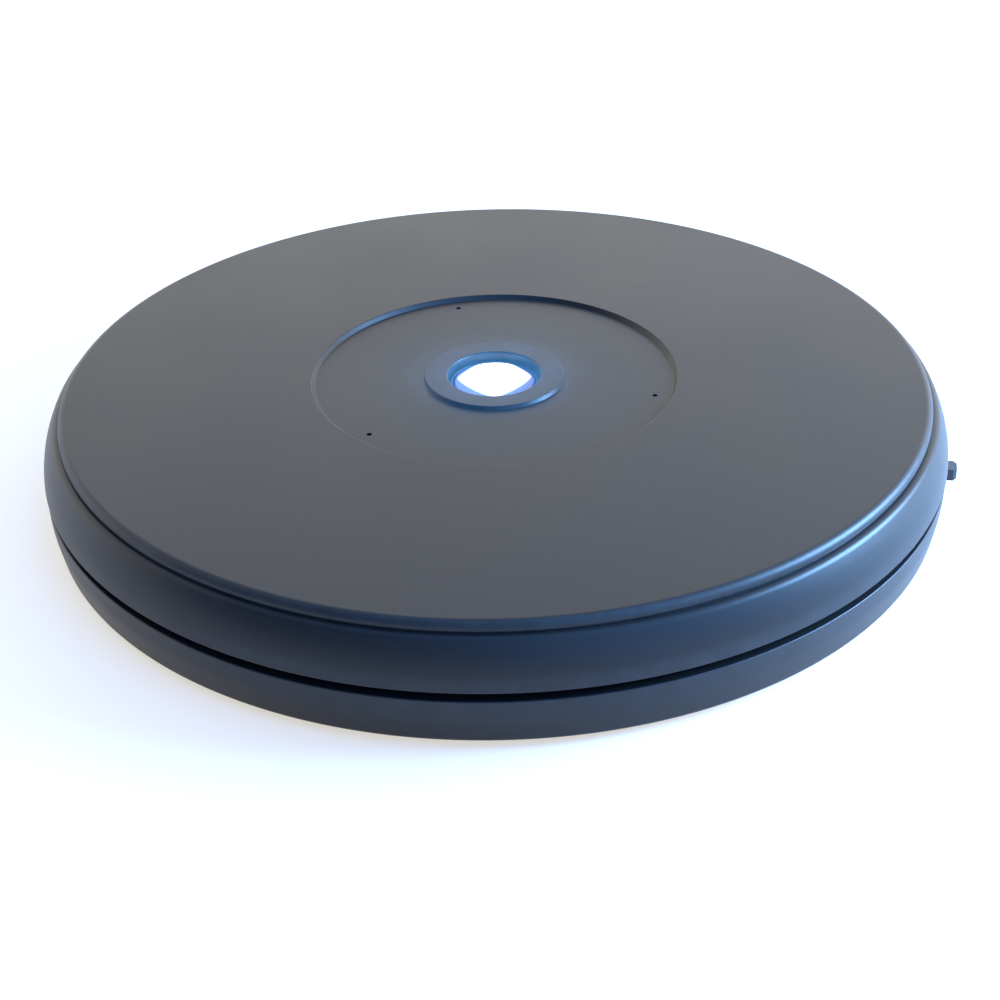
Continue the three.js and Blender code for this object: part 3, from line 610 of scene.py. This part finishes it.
def platter_outline():
    """The turning shell, from the hub's bore round the underside, the rim and the face."""
    under = FACE - WALL
    recess_under = RECESS - WALL
    ridge = FACE - 2.9
    groove_floor = ridge + 0.65
    inner_track, outer_track, track_height = TRACK
    return rounded([
        (HUB_BORE, 20.2, 0.2),
        (15.2, 20.2, 0.3),
        (15.2, recess_under, 0.8),
        (RECESS_RADIUS + 1.2, recess_under, 0.4),
        (RECESS_RADIUS + 2.4, under, 0.4),
        (inner_track, under, 0.6),
        (inner_track, track_height, 0.3),
        (outer_track, track_height, 0.3),
        (outer_track, under, 0.6),
        (116.0, under, 0.8),
        (EDGE_REACH, 27.2, 1.0),
        (122.3, 22.4, 22.0),
        (122.65, SKIRT, 0.2),
        (RADIUS, SKIRT, 0.35),
        (RADIUS - 0.42, 23.36, 26.0),
        (121.08, ridge, 2.0),
        (GROOVE_REACH, ridge, 0.1),
        (GROOVE_REACH, groove_floor, 0.1),
        (EDGE_REACH, groove_floor, 0.05),
        (EDGE_REACH, FACE, 2.1),
        (RECESS_RADIUS, FACE, 0.35),
        (RECESS_RADIUS - 1.0, RECESS, 0.35),
        (BOSS_RADIUS, RECESS, 0.25),
        (BOSS_RADIUS - 0.4, BOSS, 0.3),
        (WELL_RADIUS, BOSS, 0.5),
        (WELL_RADIUS, WELL_FLOOR, 0.3),
        (HUB_BORE, WELL_FLOOR, 0.2),
    ])


def platter():
    pillar_low = high("platter_gear").z + FIT
    pillars = [rod(PILLAR_RADIUS, pillar_low, RECESS - 1.2, place) for place in GEAR_SCREW_PLACES]
    bores = [rod(SCREW_BORE, 20, RECESS - 1.6, place) for place in GEAR_SCREW_PLACES]
    dimple_places = [polar(DIMPLE_REACH, angle) for angle in DIMPLE_ANGLES]
    dimples = [rod(DIMPLE_RADIUS, RECESS - 1.4, FACE, place) for place in dimple_places]
    shell = join(lathe("platter", platter_outline(), FINE), *pillars)
    stand_in(cut(shell, *bores, *dimples), "platter_top")


# ---------------------------------------------------------------- base

def base_ring():
    wall = 2.45
    ledge = RIM_TOP - wall
    shell = lathe("base", rounded([
        (120.9, BASE_LOW, 0.1),
        (123.4, BASE_LOW, 1.5),
        (124.7, 9.5, 20),
        (124.8, RIM_TOP, 0.35),
        (118, RIM_TOP, 0.4),
        (118, 20.5, 0.4),
        (115.8, 20.5, 0.4),
        (115.8, ledge, 0.5),
        (122.3, ledge, 0.8),
        (121.7, FLOOR + 1.4, 0.3),
        (120.9, FLOOR + FIT, 0.1),
    ]), FINE)
    pillars = [rod(PILLAR_RADIUS, FLOOR + FIT, RIM_TOP - 1.2, place) for place in PILLAR_PLACES]
    bores = [rod(SCREW_BORE, 0, ledge, place) for place in PILLAR_PLACES]
    slot = slab((RADIUS - 5, -4.3, SLOT_Z - 2), (RADIUS + 3, 4.3, SLOT_Z + 2), 0.7)
    socket = shifted(spun(rod(3.2, -6, 6), 90, "Y"), RADIUS, 0, JACK_Z)
    openings = [spun(slot, SWITCH_ANGLE), spun(socket, JACK_ANGLE)]
    stand_in(cut(join(shell, *pillars), *bores, *openings), "base_ring")


def bottom_plate():
    disc = lathe("plate", rounded([
        (0, PLATE_LOW, 0),
        (120.5, PLATE_LOW, 0.5),
        (120.5, FLOOR, 0.3),
        (0, FLOOR, 0),
    ]), FINE)
    screw_places = PILLAR_PLACES + POST_SCREW_PLACES
    pockets = [rod(6.8, 0, high("rubber_foot_1").z + FIT, place) for place in FOOT_PLACES]
    passages = [rod(SCREW_BORE, 0, FLOOR + 1, place) for place in screw_places]
    recesses = [rod(3.1, 0, PLATE_LOW + 1.4, place) for place in screw_places]
    depth = PLATE_LOW + 0.4
    grooves = [
        lathe("groove", [(r, 0), (r + 0.9, 0), (r + 0.9, depth), (r, depth)], MEDIUM)
        for r in (32, 90)
    ]
    board_seat = low("circuit_board").z - FIT
    supports = [rod(4, FLOOR - 1, EAR_LOW - FIT, place) for place in EAR_PLACES]
    supports += [rod(3, FLOOR - 1, board_seat, place) for place in BOARD_SCREW_PLACES]
    bores = [rod(SCREW_BORE, FLOOR, low("motor_gearbox").z + 9, place) for place in EAR_PLACES]
    bores += [rod(1.2, FLOOR, 12, place) for place in BOARD_SCREW_PLACES]
    drilled = cut(disc, *pockets, *passages, *recesses, *grooves)
    stand_in(cut(join(drilled, *supports), *bores), "bottom_plate")


def rubber_foot(node):
    centre = middle(node)
    radius = high(node).x - centre.x
    top = high(node).z
    foot = lathe("foot", rounded([
        (0, 0.5, 0),
        (2.2, 0.5, 0.2),
        (2.6, 0, 0.2),
        (radius, 0, 0.6),
        (radius - 0.2, top, 0.3),
        (0, top, 0),
    ]))
    stand_in(shifted(foot, centre.x, centre.y), node)


# ---------------------------------------------------------------- fasteners

THREAD_PITCH = 0.8
THREAD_DEPTH = 0.22
HEAD_HEIGHTS = {
    "bottom_screw": 1.2,
    "post_screw": 1.2,
    "gear_screw": 1.4,
    "motor_screw": 1.4,
    "board_screw": 1.1,
}


def screw(head_radius, head_height, length):
    """A pan-head screw with a cross recess and a rolled thread, its shank up, its head under height 0."""
    shank = 0.43 * head_radius
    core = shank - THREAD_DEPTH
    thread_start = 0.4
    rows = math.ceil((length - 2 * thread_start) / (THREAD_PITCH / 6))
    heights = [thread_start + (length - 2 * thread_start) * i / rows for i in range(rows + 1)]

    def thread(radius, height, angle):
        if radius != core or not thread_start < height < length - thread_start:
            return radius
        phase = (height / THREAD_PITCH - angle / FULL_TURN) % 1
        return core + THREAD_DEPTH * (1 - abs(2 * phase - 1))

    corners = [
        (0, -head_height, 0),
        (head_radius, -head_height, 0.5 * head_height),
        (head_radius, 0, 0.12),
        (core, 0, 0),
        *[(core, height, 0) for height in heights],
        (0.5 * core, length, 0),
        (0, length, 0),
    ]
    body = lathe("screw", rounded(corners), 32, thread)
    arm = 0.62 * head_radius
    half = 0.13 * head_radius
    bottom = -head_height - 1
    recess_top = -0.35 * head_height
    cross = slab((-arm, -half, bottom), (arm, half, recess_top))
    other = slab((-half, -arm, bottom), (half, arm, recess_top))
    return cut(body, cross, other)


def screws():
    for stem, head_height in HEAD_HEIGHTS.items():
        nodes = [node for node in BODY_OF if node.startswith(stem)]
        head_up = stem in ("motor_screw", "board_screw")
        first = nodes[0]
        head_radius = (high(first).x - low(first).x) / 2
        length = high(first).z - low(first).z - head_height
        for turn, node in enumerate(nodes):
            piece = spun(screw(head_radius, head_height, length), 37 * turn)
            if head_up:
                piece = shifted(spun(piece, 180, "X"), 0, 0, high(node).z - head_height)
            else:
                piece = shifted(piece, 0, 0, low(node).z + head_height)
            centre = middle(node)
            stand_in(shifted(piece, centre.x, centre.y), node)


# ---------------------------------------------------------------- centre and lamp

def centre_post():
    foot = FLOOR + FIT
    body = lathe("post", rounded([
        (7, foot, 0.2),
        (20, foot, 0.3),
        (20, 7.5, 0.5),
        (14, 7.5, 1),
        (14, 16.9, 0.3),
        (POST_RADIUS, 16.9, 0.3),
        (POST_RADIUS, WELL_FLOOR, 0.4),
        (7, WELL_FLOOR, 0.3),
    ]), MEDIUM)
    bores = [rod(SCREW_BORE, 0, 7.2, place) for place in POST_SCREW_PLACES]
    window = slab((3.5, -3, 8), (20, 3, 13), 0.6)
    stand_in(cut(body, window, *bores), "centre_post")


def bearings():
    washer = lathe("washer", rounded([
        (10.3, low("thrust_washer").z, 0.2),
        (13.6, low("thrust_washer").z, 0.3),
        (13.6, high("thrust_washer").z, 0.3),
        (10.3, high("thrust_washer").z, 0.2),
    ]), MEDIUM)
    stand_in(washer, "thrust_washer")
    bush = lathe("bush", rounded([
        (10.3, low("hub_bush").z, 0.2),
        (14, low("hub_bush").z, 0.3),
        (14, 19.9, 0.3),
        (11.5, 19.9, 0.2),
        (11.5, high("hub_bush").z, 0.3),
        (10.3, high("hub_bush").z, 0.2),
    ]), MEDIUM)
    stand_in(bush, "hub_bush")


def lamp():
    bottom = WELL_FLOOR + FIT
    seat = low("led_board").z - FIT
    holder = lathe("holder", rounded([
        (4, low("led_holder").z, 0.1),
        (6.7, low("led_holder").z, 0.3),
        (6.7, bottom, 0.1),
        (12.5, bottom, 0.3),
        (12.5, 29.9, 0.2),
        (11.7, 29.9, 0.2),
        (11.7, seat, 0.1),
        (10.4, seat, 0.1),
        (10.4, bottom + 1.2, 0.3),
        (4, bottom + 1.2, 0.1),
    ]), MEDIUM)
    stand_in(holder, "led_holder")
    laminate = rod(11.3, low("led_board").z, high("led_board").z, steps=MEDIUM, fillet=0.1)
    stand_in(laminate, "led_board")
    for node in numbered("led", 4):
        centre = middle(node)
        base = low(node).z
        crown = high(node).z
        dome = lathe("led", rounded([
            (0, base, 0),
            (2.5, base, 0.1),
            (2.5, base + 0.6, 0.15),
            (2.1, base + 0.6, 0.1),
            (2.0, crown, 0.9),
            (0, crown, 0),
        ]))
        stand_in(shifted(dome, centre.x, centre.y), node)
    cover_low = low("lens_cover").z
    cover_top = high("lens_cover").z
    cover = lathe("cover", rounded([
        (10.4, cover_low, 0.1),
        (11.3, cover_low, 0.1),
        (11.3, cover_top, 0.5),
        (0, cover_top, 0),
        (0, cover_top - 0.9, 0),
        (10.4, cover_top - 0.9, 0.3),
    ]), MEDIUM)
    stand_in(cover, "lens_cover")


# ---------------------------------------------------------------- gears and motor

GEAR_TEETH = 45
PINION_TEETH = 15
GEAR_GROOVE = (28.6, 30.4)  # inner and outer radius of the groove in each side of the gear
SHAFT_RADIUS = 3
TOOTH_MODULE = 1.5
PRESSURE_ANGLE = math.radians(20)
BACKLASH = 0.3


def gear_outline(teeth, turn):
    """Outline of an involute spur gear in mesh with the other one."""
    pitch = TOOTH_MODULE * teeth / 2
    base = pitch * math.cos(PRESSURE_ANGLE)
    root = pitch - 1.2 * TOOTH_MODULE
    tip = pitch + 0.9 * TOOTH_MODULE
    half_tooth = (math.pi * TOOTH_MODULE / 2 - BACKLASH) / 2 / pitch

    def involute(radius):
        angle = math.acos(min(1, base / radius))
        return math.tan(angle) - angle

    radii = [root + (tip - root) * i / 7 for i in range(8)]
    rising = [(radius, involute(radius) - involute(pitch) - half_tooth) for radius in radii]
    points = []
    for tooth in range(teeth):
        centre = turn + FULL_TURN * tooth / teeth
        flanks = rising + [(radius, -angle) for radius, angle in reversed(rising)]
        points += [(r * math.cos(centre + a), r * math.sin(centre + a)) for r, a in flanks]
    return points


def gears():
    gear_low = low("platter_gear").z
    gear_high = high("platter_gear").z
    holes = [circle(SCREW_BORE, COARSE, x, y) for x, y in GEAR_SCREW_PLACES]
    half_pitch = math.pi / GEAR_TEETH
    outlines = [gear_outline(GEAR_TEETH, math.pi + half_pitch), circle(16.2, MEDIUM), *holes]
    wheel = plate("gear", outlines, gear_low, gear_high)
    inner, outer = GEAR_GROOVE
    grooves = [
        lathe("groove", [(inner, z - 0.5), (outer, z - 0.5), (outer, z + 0.5), (inner, z + 0.5)], MEDIUM)
        for z in (gear_low, gear_high)
    ]
    stand_in(softened(cut(wheel, *grooves), 0.15), "platter_gear")
    pinion_low = low("drive_pinion").z
    pinion_high = high("drive_pinion").z
    pinion_outlines = [gear_outline(PINION_TEETH, 0), circle(SHAFT_RADIUS + FIT, SMALL)]
    pinion = plate("pinion", pinion_outlines, pinion_low, pinion_high)
    stand_in(softened(shifted(pinion, middle("drive_pinion").x), 0.15), "drive_pinion")
    shaft = rod(SHAFT_RADIUS, low("output_shaft").z, high("output_shaft").z, fillet=0.4)
    stand_in(shifted(shaft, middle("output_shaft").x), "output_shaft")


def motor():
    x = middle("motor_can").x
    bottom = low("motor_can").z
    split = high("motor_can").z
    can = lathe("can", rounded([
        (0, bottom + 0.6, 0),
        (5.4, bottom + 0.6, 0.3),
        (5.8, bottom, 0.3),
        (21, bottom, 1.4),
        (21, split - 1.6, 0.3),
        (20.6, split - 1.4, 0.2),
        (20.6, split - 0.8, 0.2),
        (21, split - 0.6, 0.3),
        (21, split, 0.2),
        (0, split, 0),
    ]), MEDIUM)
    stand_in(shifted(can, x), "motor_can")
    top = high("motor_gearbox").z
    box_low = low("motor_gearbox").z
    housing = lathe("gearbox", rounded([
        (0, box_low, 0),
        (21, box_low, 0.3),
        (21, top, 0.8),
        (8, top, 0.2),
        (7.4, top - 0.6, 0.3),
        (0, top - 0.6, 0),
    ]), MEDIUM)
    reach = high("motor_gearbox").y
    span = reach - EAR_RADIUS
    quarters = ((-1, -1), (1, -1), (1, 1), (-1, 1))
    corners = [(side * EAR_RADIUS, end * reach, EAR_RADIUS - 0.01) for side, end in quarters]
    ears = plate("ears", [rounded(corners)], EAR_LOW, EAR_HIGH)
    holes = [rod(SCREW_BORE, 10, 25, (0, side * span)) for side in (-1, 1)]
    rivet_places = [polar(16, angle) for angle in (45, 135, 225, 315)]
    rivets = [rod(1.1, top - 1, top - 0.1, place, fillet=0.3) for place in rivet_places]
    bore = rod(SHAFT_RADIUS + FIT, 14.7, 25)
    stand_in(shifted(cut(join(housing, ears), bore, *holes, *rivets), x), "motor_gearbox")


# ---------------------------------------------------------------- rollers

def rollers():
    for number, angle in enumerate(ROLLER_ANGLES, start=1):
        axle = spun(rod(1.5, -5.7, 5.7, fillet=0.3), 90, "Y")
        wheel = spun(lathe("roller", rounded([
            (1.8, -2.5, 0.2),
            (3.4, -2.5, 0.2),
            (3.8, -1.9, 0.3),
            (5.2, -1.9, 0.3),
            (5.6, -2.5, 0.2),
            (7, -2.5, 0.5),
            (7, 2.5, 0.5),
            (5.6, 2.5, 0.2),
            (5.2, 1.9, 0.3),
            (3.8, 1.9, 0.3),
            (3.4, 2.5, 0.2),
            (1.8, 2.5, 0.2),
        ]), MEDIUM), 90, "Y")
        foot = FLOOR + FIT
        base = slab((-5.2, -7, foot), (5.2, 7, foot + 2), 0.4)
        cheeks = [slab((x, -5, foot + 1), (x + 2, 5, ROLLER_Z + 3.5), 0.4) for x in (-5.2, 3.2)]
        passage = shifted(spun(rod(1.8, -10, 10), 90, "Y"), 0, 0, ROLLER_Z)
        bracket = cut(join(base, *cheeks), passage)
        for piece, node, height in (
            (axle, "roller_axle", ROLLER_Z),
            (wheel, "roller", ROLLER_Z),
            (bracket, "roller_bracket", 0),
        ):
            stand_in(spun(shifted(piece, ROLLER_REACH, 0, height), angle), f"{node}_{number}")


# ---------------------------------------------------------------- controls

def switch():
    body = slab((RADIUS - 10.5, -6.5, SLOT_Z - 2.5), (RADIUS - 4, 6.5, SLOT_Z + 2.3), 0.3)
    stand_in(spun(body, SWITCH_ANGLE), "switch_body")
    half = 2.5
    front = RADIUS + 3.2
    back = RADIUS - 3.7
    groove = front - 0.5
    margin = 0.7
    ribs = 4
    pitch = 2 * (half - margin) / ribs
    corners = [(back, -half, 0.1), (groove, -half, 0.6)]
    for i in range(ribs):
        start = -half + margin + i * pitch
        corners += [
            (groove, start + 0.1 * pitch, 0.04),
            (front, start + 0.3 * pitch, 0.08),
            (front, start + 0.7 * pitch, 0.08),
            (groove, start + 0.9 * pitch, 0.04),
        ]
    corners += [(groove, half, 0.6), (back, half, 0.1)]
    knob = plate("knob", [rounded(corners)], SLOT_Z - 1.7, SLOT_Z + 1.7)
    knob = softened(shifted(knob, 0, 1.5), 0.25)
    stand_in(spun(knob, SWITCH_ANGLE), "switch_knob")


def supply_socket():
    nose = RADIUS - 0.6
    front = RADIUS - 4.9
    back = 109.5
    body = slab((back, -4.2, JACK_Z - 3.1), (front, 4.2, JACK_Z + 3.1), 0.4)
    barrel = lathe("barrel", rounded([
        (0, front - 1, 0),
        (2.8, front - 1, 0.1),
        (2.8, nose, 0.25),
        (0, nose, 0),
    ]))
    bore = lathe("bore", rounded([
        (0, nose - 8.4, 0),
        (1.75, nose - 8.4, 0.1),
        (1.75, nose - 0.4, 0.1),
        (2.15, nose, 0.1),
        (2.15, nose + 1, 0.1),
        (0, nose + 1, 0),
    ]))
    seat = rod(0.95, back + 1.5, nose + 1, steps=COARSE)
    lying = [shifted(spun(part, 90, "Y"), 0, 0, JACK_Z) for part in (barrel, bore, seat)]
    jack = cut(join(body, lying[0]), *lying[1:])
    stand_in(spun(jack, JACK_ANGLE), "dc_jack")
    pin = lathe("pin", rounded([
        (0, 112, 0),
        (0.65, 112, 0.1),
        (0.65, 123, 0.35),
        (0, 123, 0),
    ]), COARSE)
    stand_in(spun(shifted(spun(pin, 90, "Y"), 0, 0, JACK_Z), JACK_ANGLE), "jack_pin")


# ---------------------------------------------------------------- electronics

def board():
    lowest = low("circuit_board")
    highest = high("circuit_board")
    corners = [
        (lowest.x, lowest.y, 1.5),
        (highest.x, lowest.y, 1.5),
        (highest.x, highest.y, 1.5),
        (lowest.x, highest.y, 1.5),
    ]
    holes = [circle(1.2, COARSE, x, y) for x, y in BOARD_SCREW_PLACES]
    laminate = plate("board", [rounded(corners), *holes], lowest.z, highest.z)
    centre = middle("circuit_board")
    top = highest.z - 0.05
    chip = slab((centre.x - 3, -14, top), (centre.x + 3, -6, top + 1.5), 0.2)
    small = [
        slab((centre.x - 2 + 3 * i, 12, top), (centre.x - 0.4 + 3 * i, 12.9, top + 0.6), 0.1)
        for i in (-2, -1, 0)
    ]
    stand_in(join(laminate, chip, *small), "circuit_board")


def capacitor():
    centre = middle("board_capacitor")
    bottom = low("board_capacitor").z
    top = high("board_capacitor").z
    can = lathe("capacitor", rounded([
        (0, bottom, 0),
        (4, bottom, 0.3),
        (4, bottom + 1.2, 0.2),
        (3.75, bottom + 1.6, 0.3),
        (4, bottom + 2.0, 0.2),
        (4, top, 0.5),
        (3.3, top, 0.1),
        (3.2, top - 0.2, 0.1),
        (0, top - 0.2, 0),
    ]))
    stand_in(shifted(can, centre.x, centre.y), "board_capacitor")


def connector():
    lowest = low("board_connector")
    highest = high("board_connector")
    housing = slab(lowest, highest, 0.25)
    pitch = 2.5
    ways = 6
    cavities = []
    for i in range(ways):
        y = (i - (ways - 1) / 2) * pitch
        mouth = (lowest.x - 1, y - 0.8, lowest.z + 1)
        end = (lowest.x + 2.5, y + 0.8, highest.z - 1)
        cavities.append(slab(mouth, end))
    stand_in(cut(housing, *cavities), "board_connector")


SOLDER_Z = high("circuit_board").z + 1.7
CONNECTOR_X = low("board_connector").x
BOARD_X = middle("circuit_board").x
MOTOR_X = middle("motor_can").x
LEAD_ROUTES = {
    "jack_lead": [
        (*polar(108, JACK_ANGLE), JACK_Z),
        (101, 24, 8.2),
        (90, 17, 10.5),
        (82, 14, SOLDER_Z),
        (BOARD_X + 11, 13, SOLDER_Z),
    ],
    "switch_lead": [
        (*polar(RADIUS - 11.9, SWITCH_ANGLE), SLOT_Z),
        (104, -19, 9),
        (92, -13, 10.8),
        (82, -9, SOLDER_Z),
        (BOARD_X + 8, -8, SOLDER_Z),
    ],
    "motor_lead": [
        (MOTOR_X + 15.4, -15.4, 8),
        (-24, -22, 7),
        (-8, -31, 6.6),
        (14, -33, 6.6),
        (34, -29, 7.5),
        (47, -22, 11),
        (CONNECTOR_X, -13, SOLDER_Z + 0.6),
        (CONNECTOR_X + 3, -10.5, SOLDER_Z),
    ],
    "led_lead": [
        (CONNECTOR_X - 0.6, 0, 12),
        (42, 0, 10.8),
        (28, 0, 10.2),
        (10, 0, 10.4),
        (3, 0, 12),
        (0.4, 0, 16),
        (0, 0, 20),
        (0, 0, low("led_board").z - FIT),
    ],
}


def leads():
    """Insulated leads: round tubes along the CAD model's routes."""
    for node, route in LEAD_ROUTES.items():
        curve = bpy.data.curves.new(node, "CURVE")
        curve.dimensions = "3D"
        curve.bevel_depth = 0.95 * MM
        curve.bevel_resolution = 6
        curve.resolution_u = 10
        curve.use_fill_caps = True
        spline = curve.splines.new("BEZIER")
        spline.bezier_points.add(len(route) - 1)
        for point, place in zip(spline.bezier_points, route):
            point.co = Vector(place) * MM
            point.handle_left_type = "AUTO"
            point.handle_right_type = "AUTO"
        lead = bpy.data.objects.new(node, curve)
        bpy.context.scene.collection.objects.link(lead)
        stand_in(lead, node)


# ---------------------------------------------------------------- stage

def pale_stage():
    """A white table lit softly from below, and far round it a wall of the same, for the camera only."""
    maker = bmesh.new()
    bmesh.ops.create_circle(maker, cap_ends=True, segments=64, radius=STAGE_REACH * MM)
    floor = made(maker, "floor")
    finish = Finish("floor")
    mottle = finish.noise(900, detail=3)
    finish.colour(finish.mix(mottle, (0.42, 0.42, 0.42), (0.46, 0.46, 0.46)))
    finish.roughness(finish.remap(mottle, 0.3, 0.7, 0.7, 0.8))
    finish.shader.inputs["Emission Color"].default_value = (*TABLE_GLOW, 1)
    finish.shader.inputs["Emission Strength"].default_value = 1.0
    outside = STAGE_REACH + BACKDROP_WALL
    backdrop = lathe("backdrop", [
        (STAGE_REACH, 1),
        (outside, 1),
        (outside, BACKDROP_HEIGHT),
        (STAGE_REACH, BACKDROP_HEIGHT),
    ], 64)
    backdrop.visible_glossy = False
    backdrop.visible_diffuse = False
    backdrop.visible_shadow = False
    for screen in (floor, backdrop):
        screen.data.materials.append(finish.material)


def sky():
    """A bright neutral studio behind the stand, and a blue dusk overhead and in front, dim to the left."""
    world = bpy.data.worlds.new("studio")
    bpy.context.scene.world = world
    world.use_nodes = True
    shading = Shading(world.node_tree)
    axes = shading.axes(world.node_tree.nodes.new("ShaderNodeTexCoord").outputs["Generated"])
    raised = shading.remap(axes["Z"], 0.32, 0.64, 0, 1)
    behind = shading.mix(raised, HORIZON_LIGHT, BACK_LIGHT)
    cool = shading.mix(shading.remap(axes["X"], -0.75, 0.75, 0, 1), LEFT_LIGHT, RIGHT_LIGHT)
    crown = shading.remap(axes["Z"], 0.62, 0.9, 0, 1)
    before = shading.remap(axes["Y"], -0.3, 0.35, 1, 0)
    background = world.node_tree.nodes["Background"]
    dusk = shading.math("MAXIMUM", crown, before)
    shading.link(shading.mix(dusk, behind, cool), background.inputs["Color"])
    shading.link(shading.remap(axes["X"], -0.8, 0.8, 0.9, 1.18), background.inputs["Strength"])


def soft_light(name, azimuth, elevation, distance, width, height, radiance, colour):
    """An oval area light aimed at the stand. Its lengths are metres, and radiance is its brightness."""
    data = bpy.data.lights.new(name, "AREA")
    data.shape = "ELLIPSE"
    data.size = width
    data.size_y = height
    data.color = colour
    data.energy = radiance * math.pi * math.pi * width * height / 4
    light = bpy.data.objects.new(name, data)
    bpy.context.scene.collection.objects.link(light)
    flat = distance * math.cos(math.radians(elevation))
    x, y = flat * math.cos(math.radians(azimuth)), flat * math.sin(math.radians(azimuth))
    light.location = (x, y, distance * math.sin(math.radians(elevation)))
    light.rotation_euler = (-light.location).to_track_quat("-Z", "Y").to_euler()
    light.visible_camera = False


def camera():
    """At the viewing angle, height and slight tilt of the photographed stand."""
    data = bpy.data.cameras.new("camera")
    data.lens = CAMERA_LENS
    data.sensor_width = SENSOR_WIDTH
    data.clip_start = 0.01
    place = Vector(CAMERA_PLACE) * MM
    target = Vector(CAMERA_TARGET) * MM
    viewer = bpy.data.objects.new("camera", data)
    viewer.location = place
    level = (target - place).to_track_quat("-Z", "Y")
    viewer.rotation_mode = "QUATERNION"
    viewer.rotation_quaternion = level @ Quaternion((0, 0, 1), math.radians(CAMERA_ROLL))
    bpy.context.scene.collection.objects.link(viewer)
    bpy.context.scene.camera = viewer


camera()
pale_stage()
sky()
soft_light(
    "window", -5, 24, distance=0.55, width=0.32, height=0.25, radiance=84, colour=WINDOW_LIGHT
)
bpy.context.scene.view_settings.view_transform = "Standard"

platter()
base_ring()
bottom_plate()
for foot_node in numbered("rubber_foot", 4):
    rubber_foot(foot_node)
screws()
centre_post()
bearings()
lamp()
gears()
motor()
rollers()
switch()
supply_socket()
board()
capacitor()
connector()
leads()
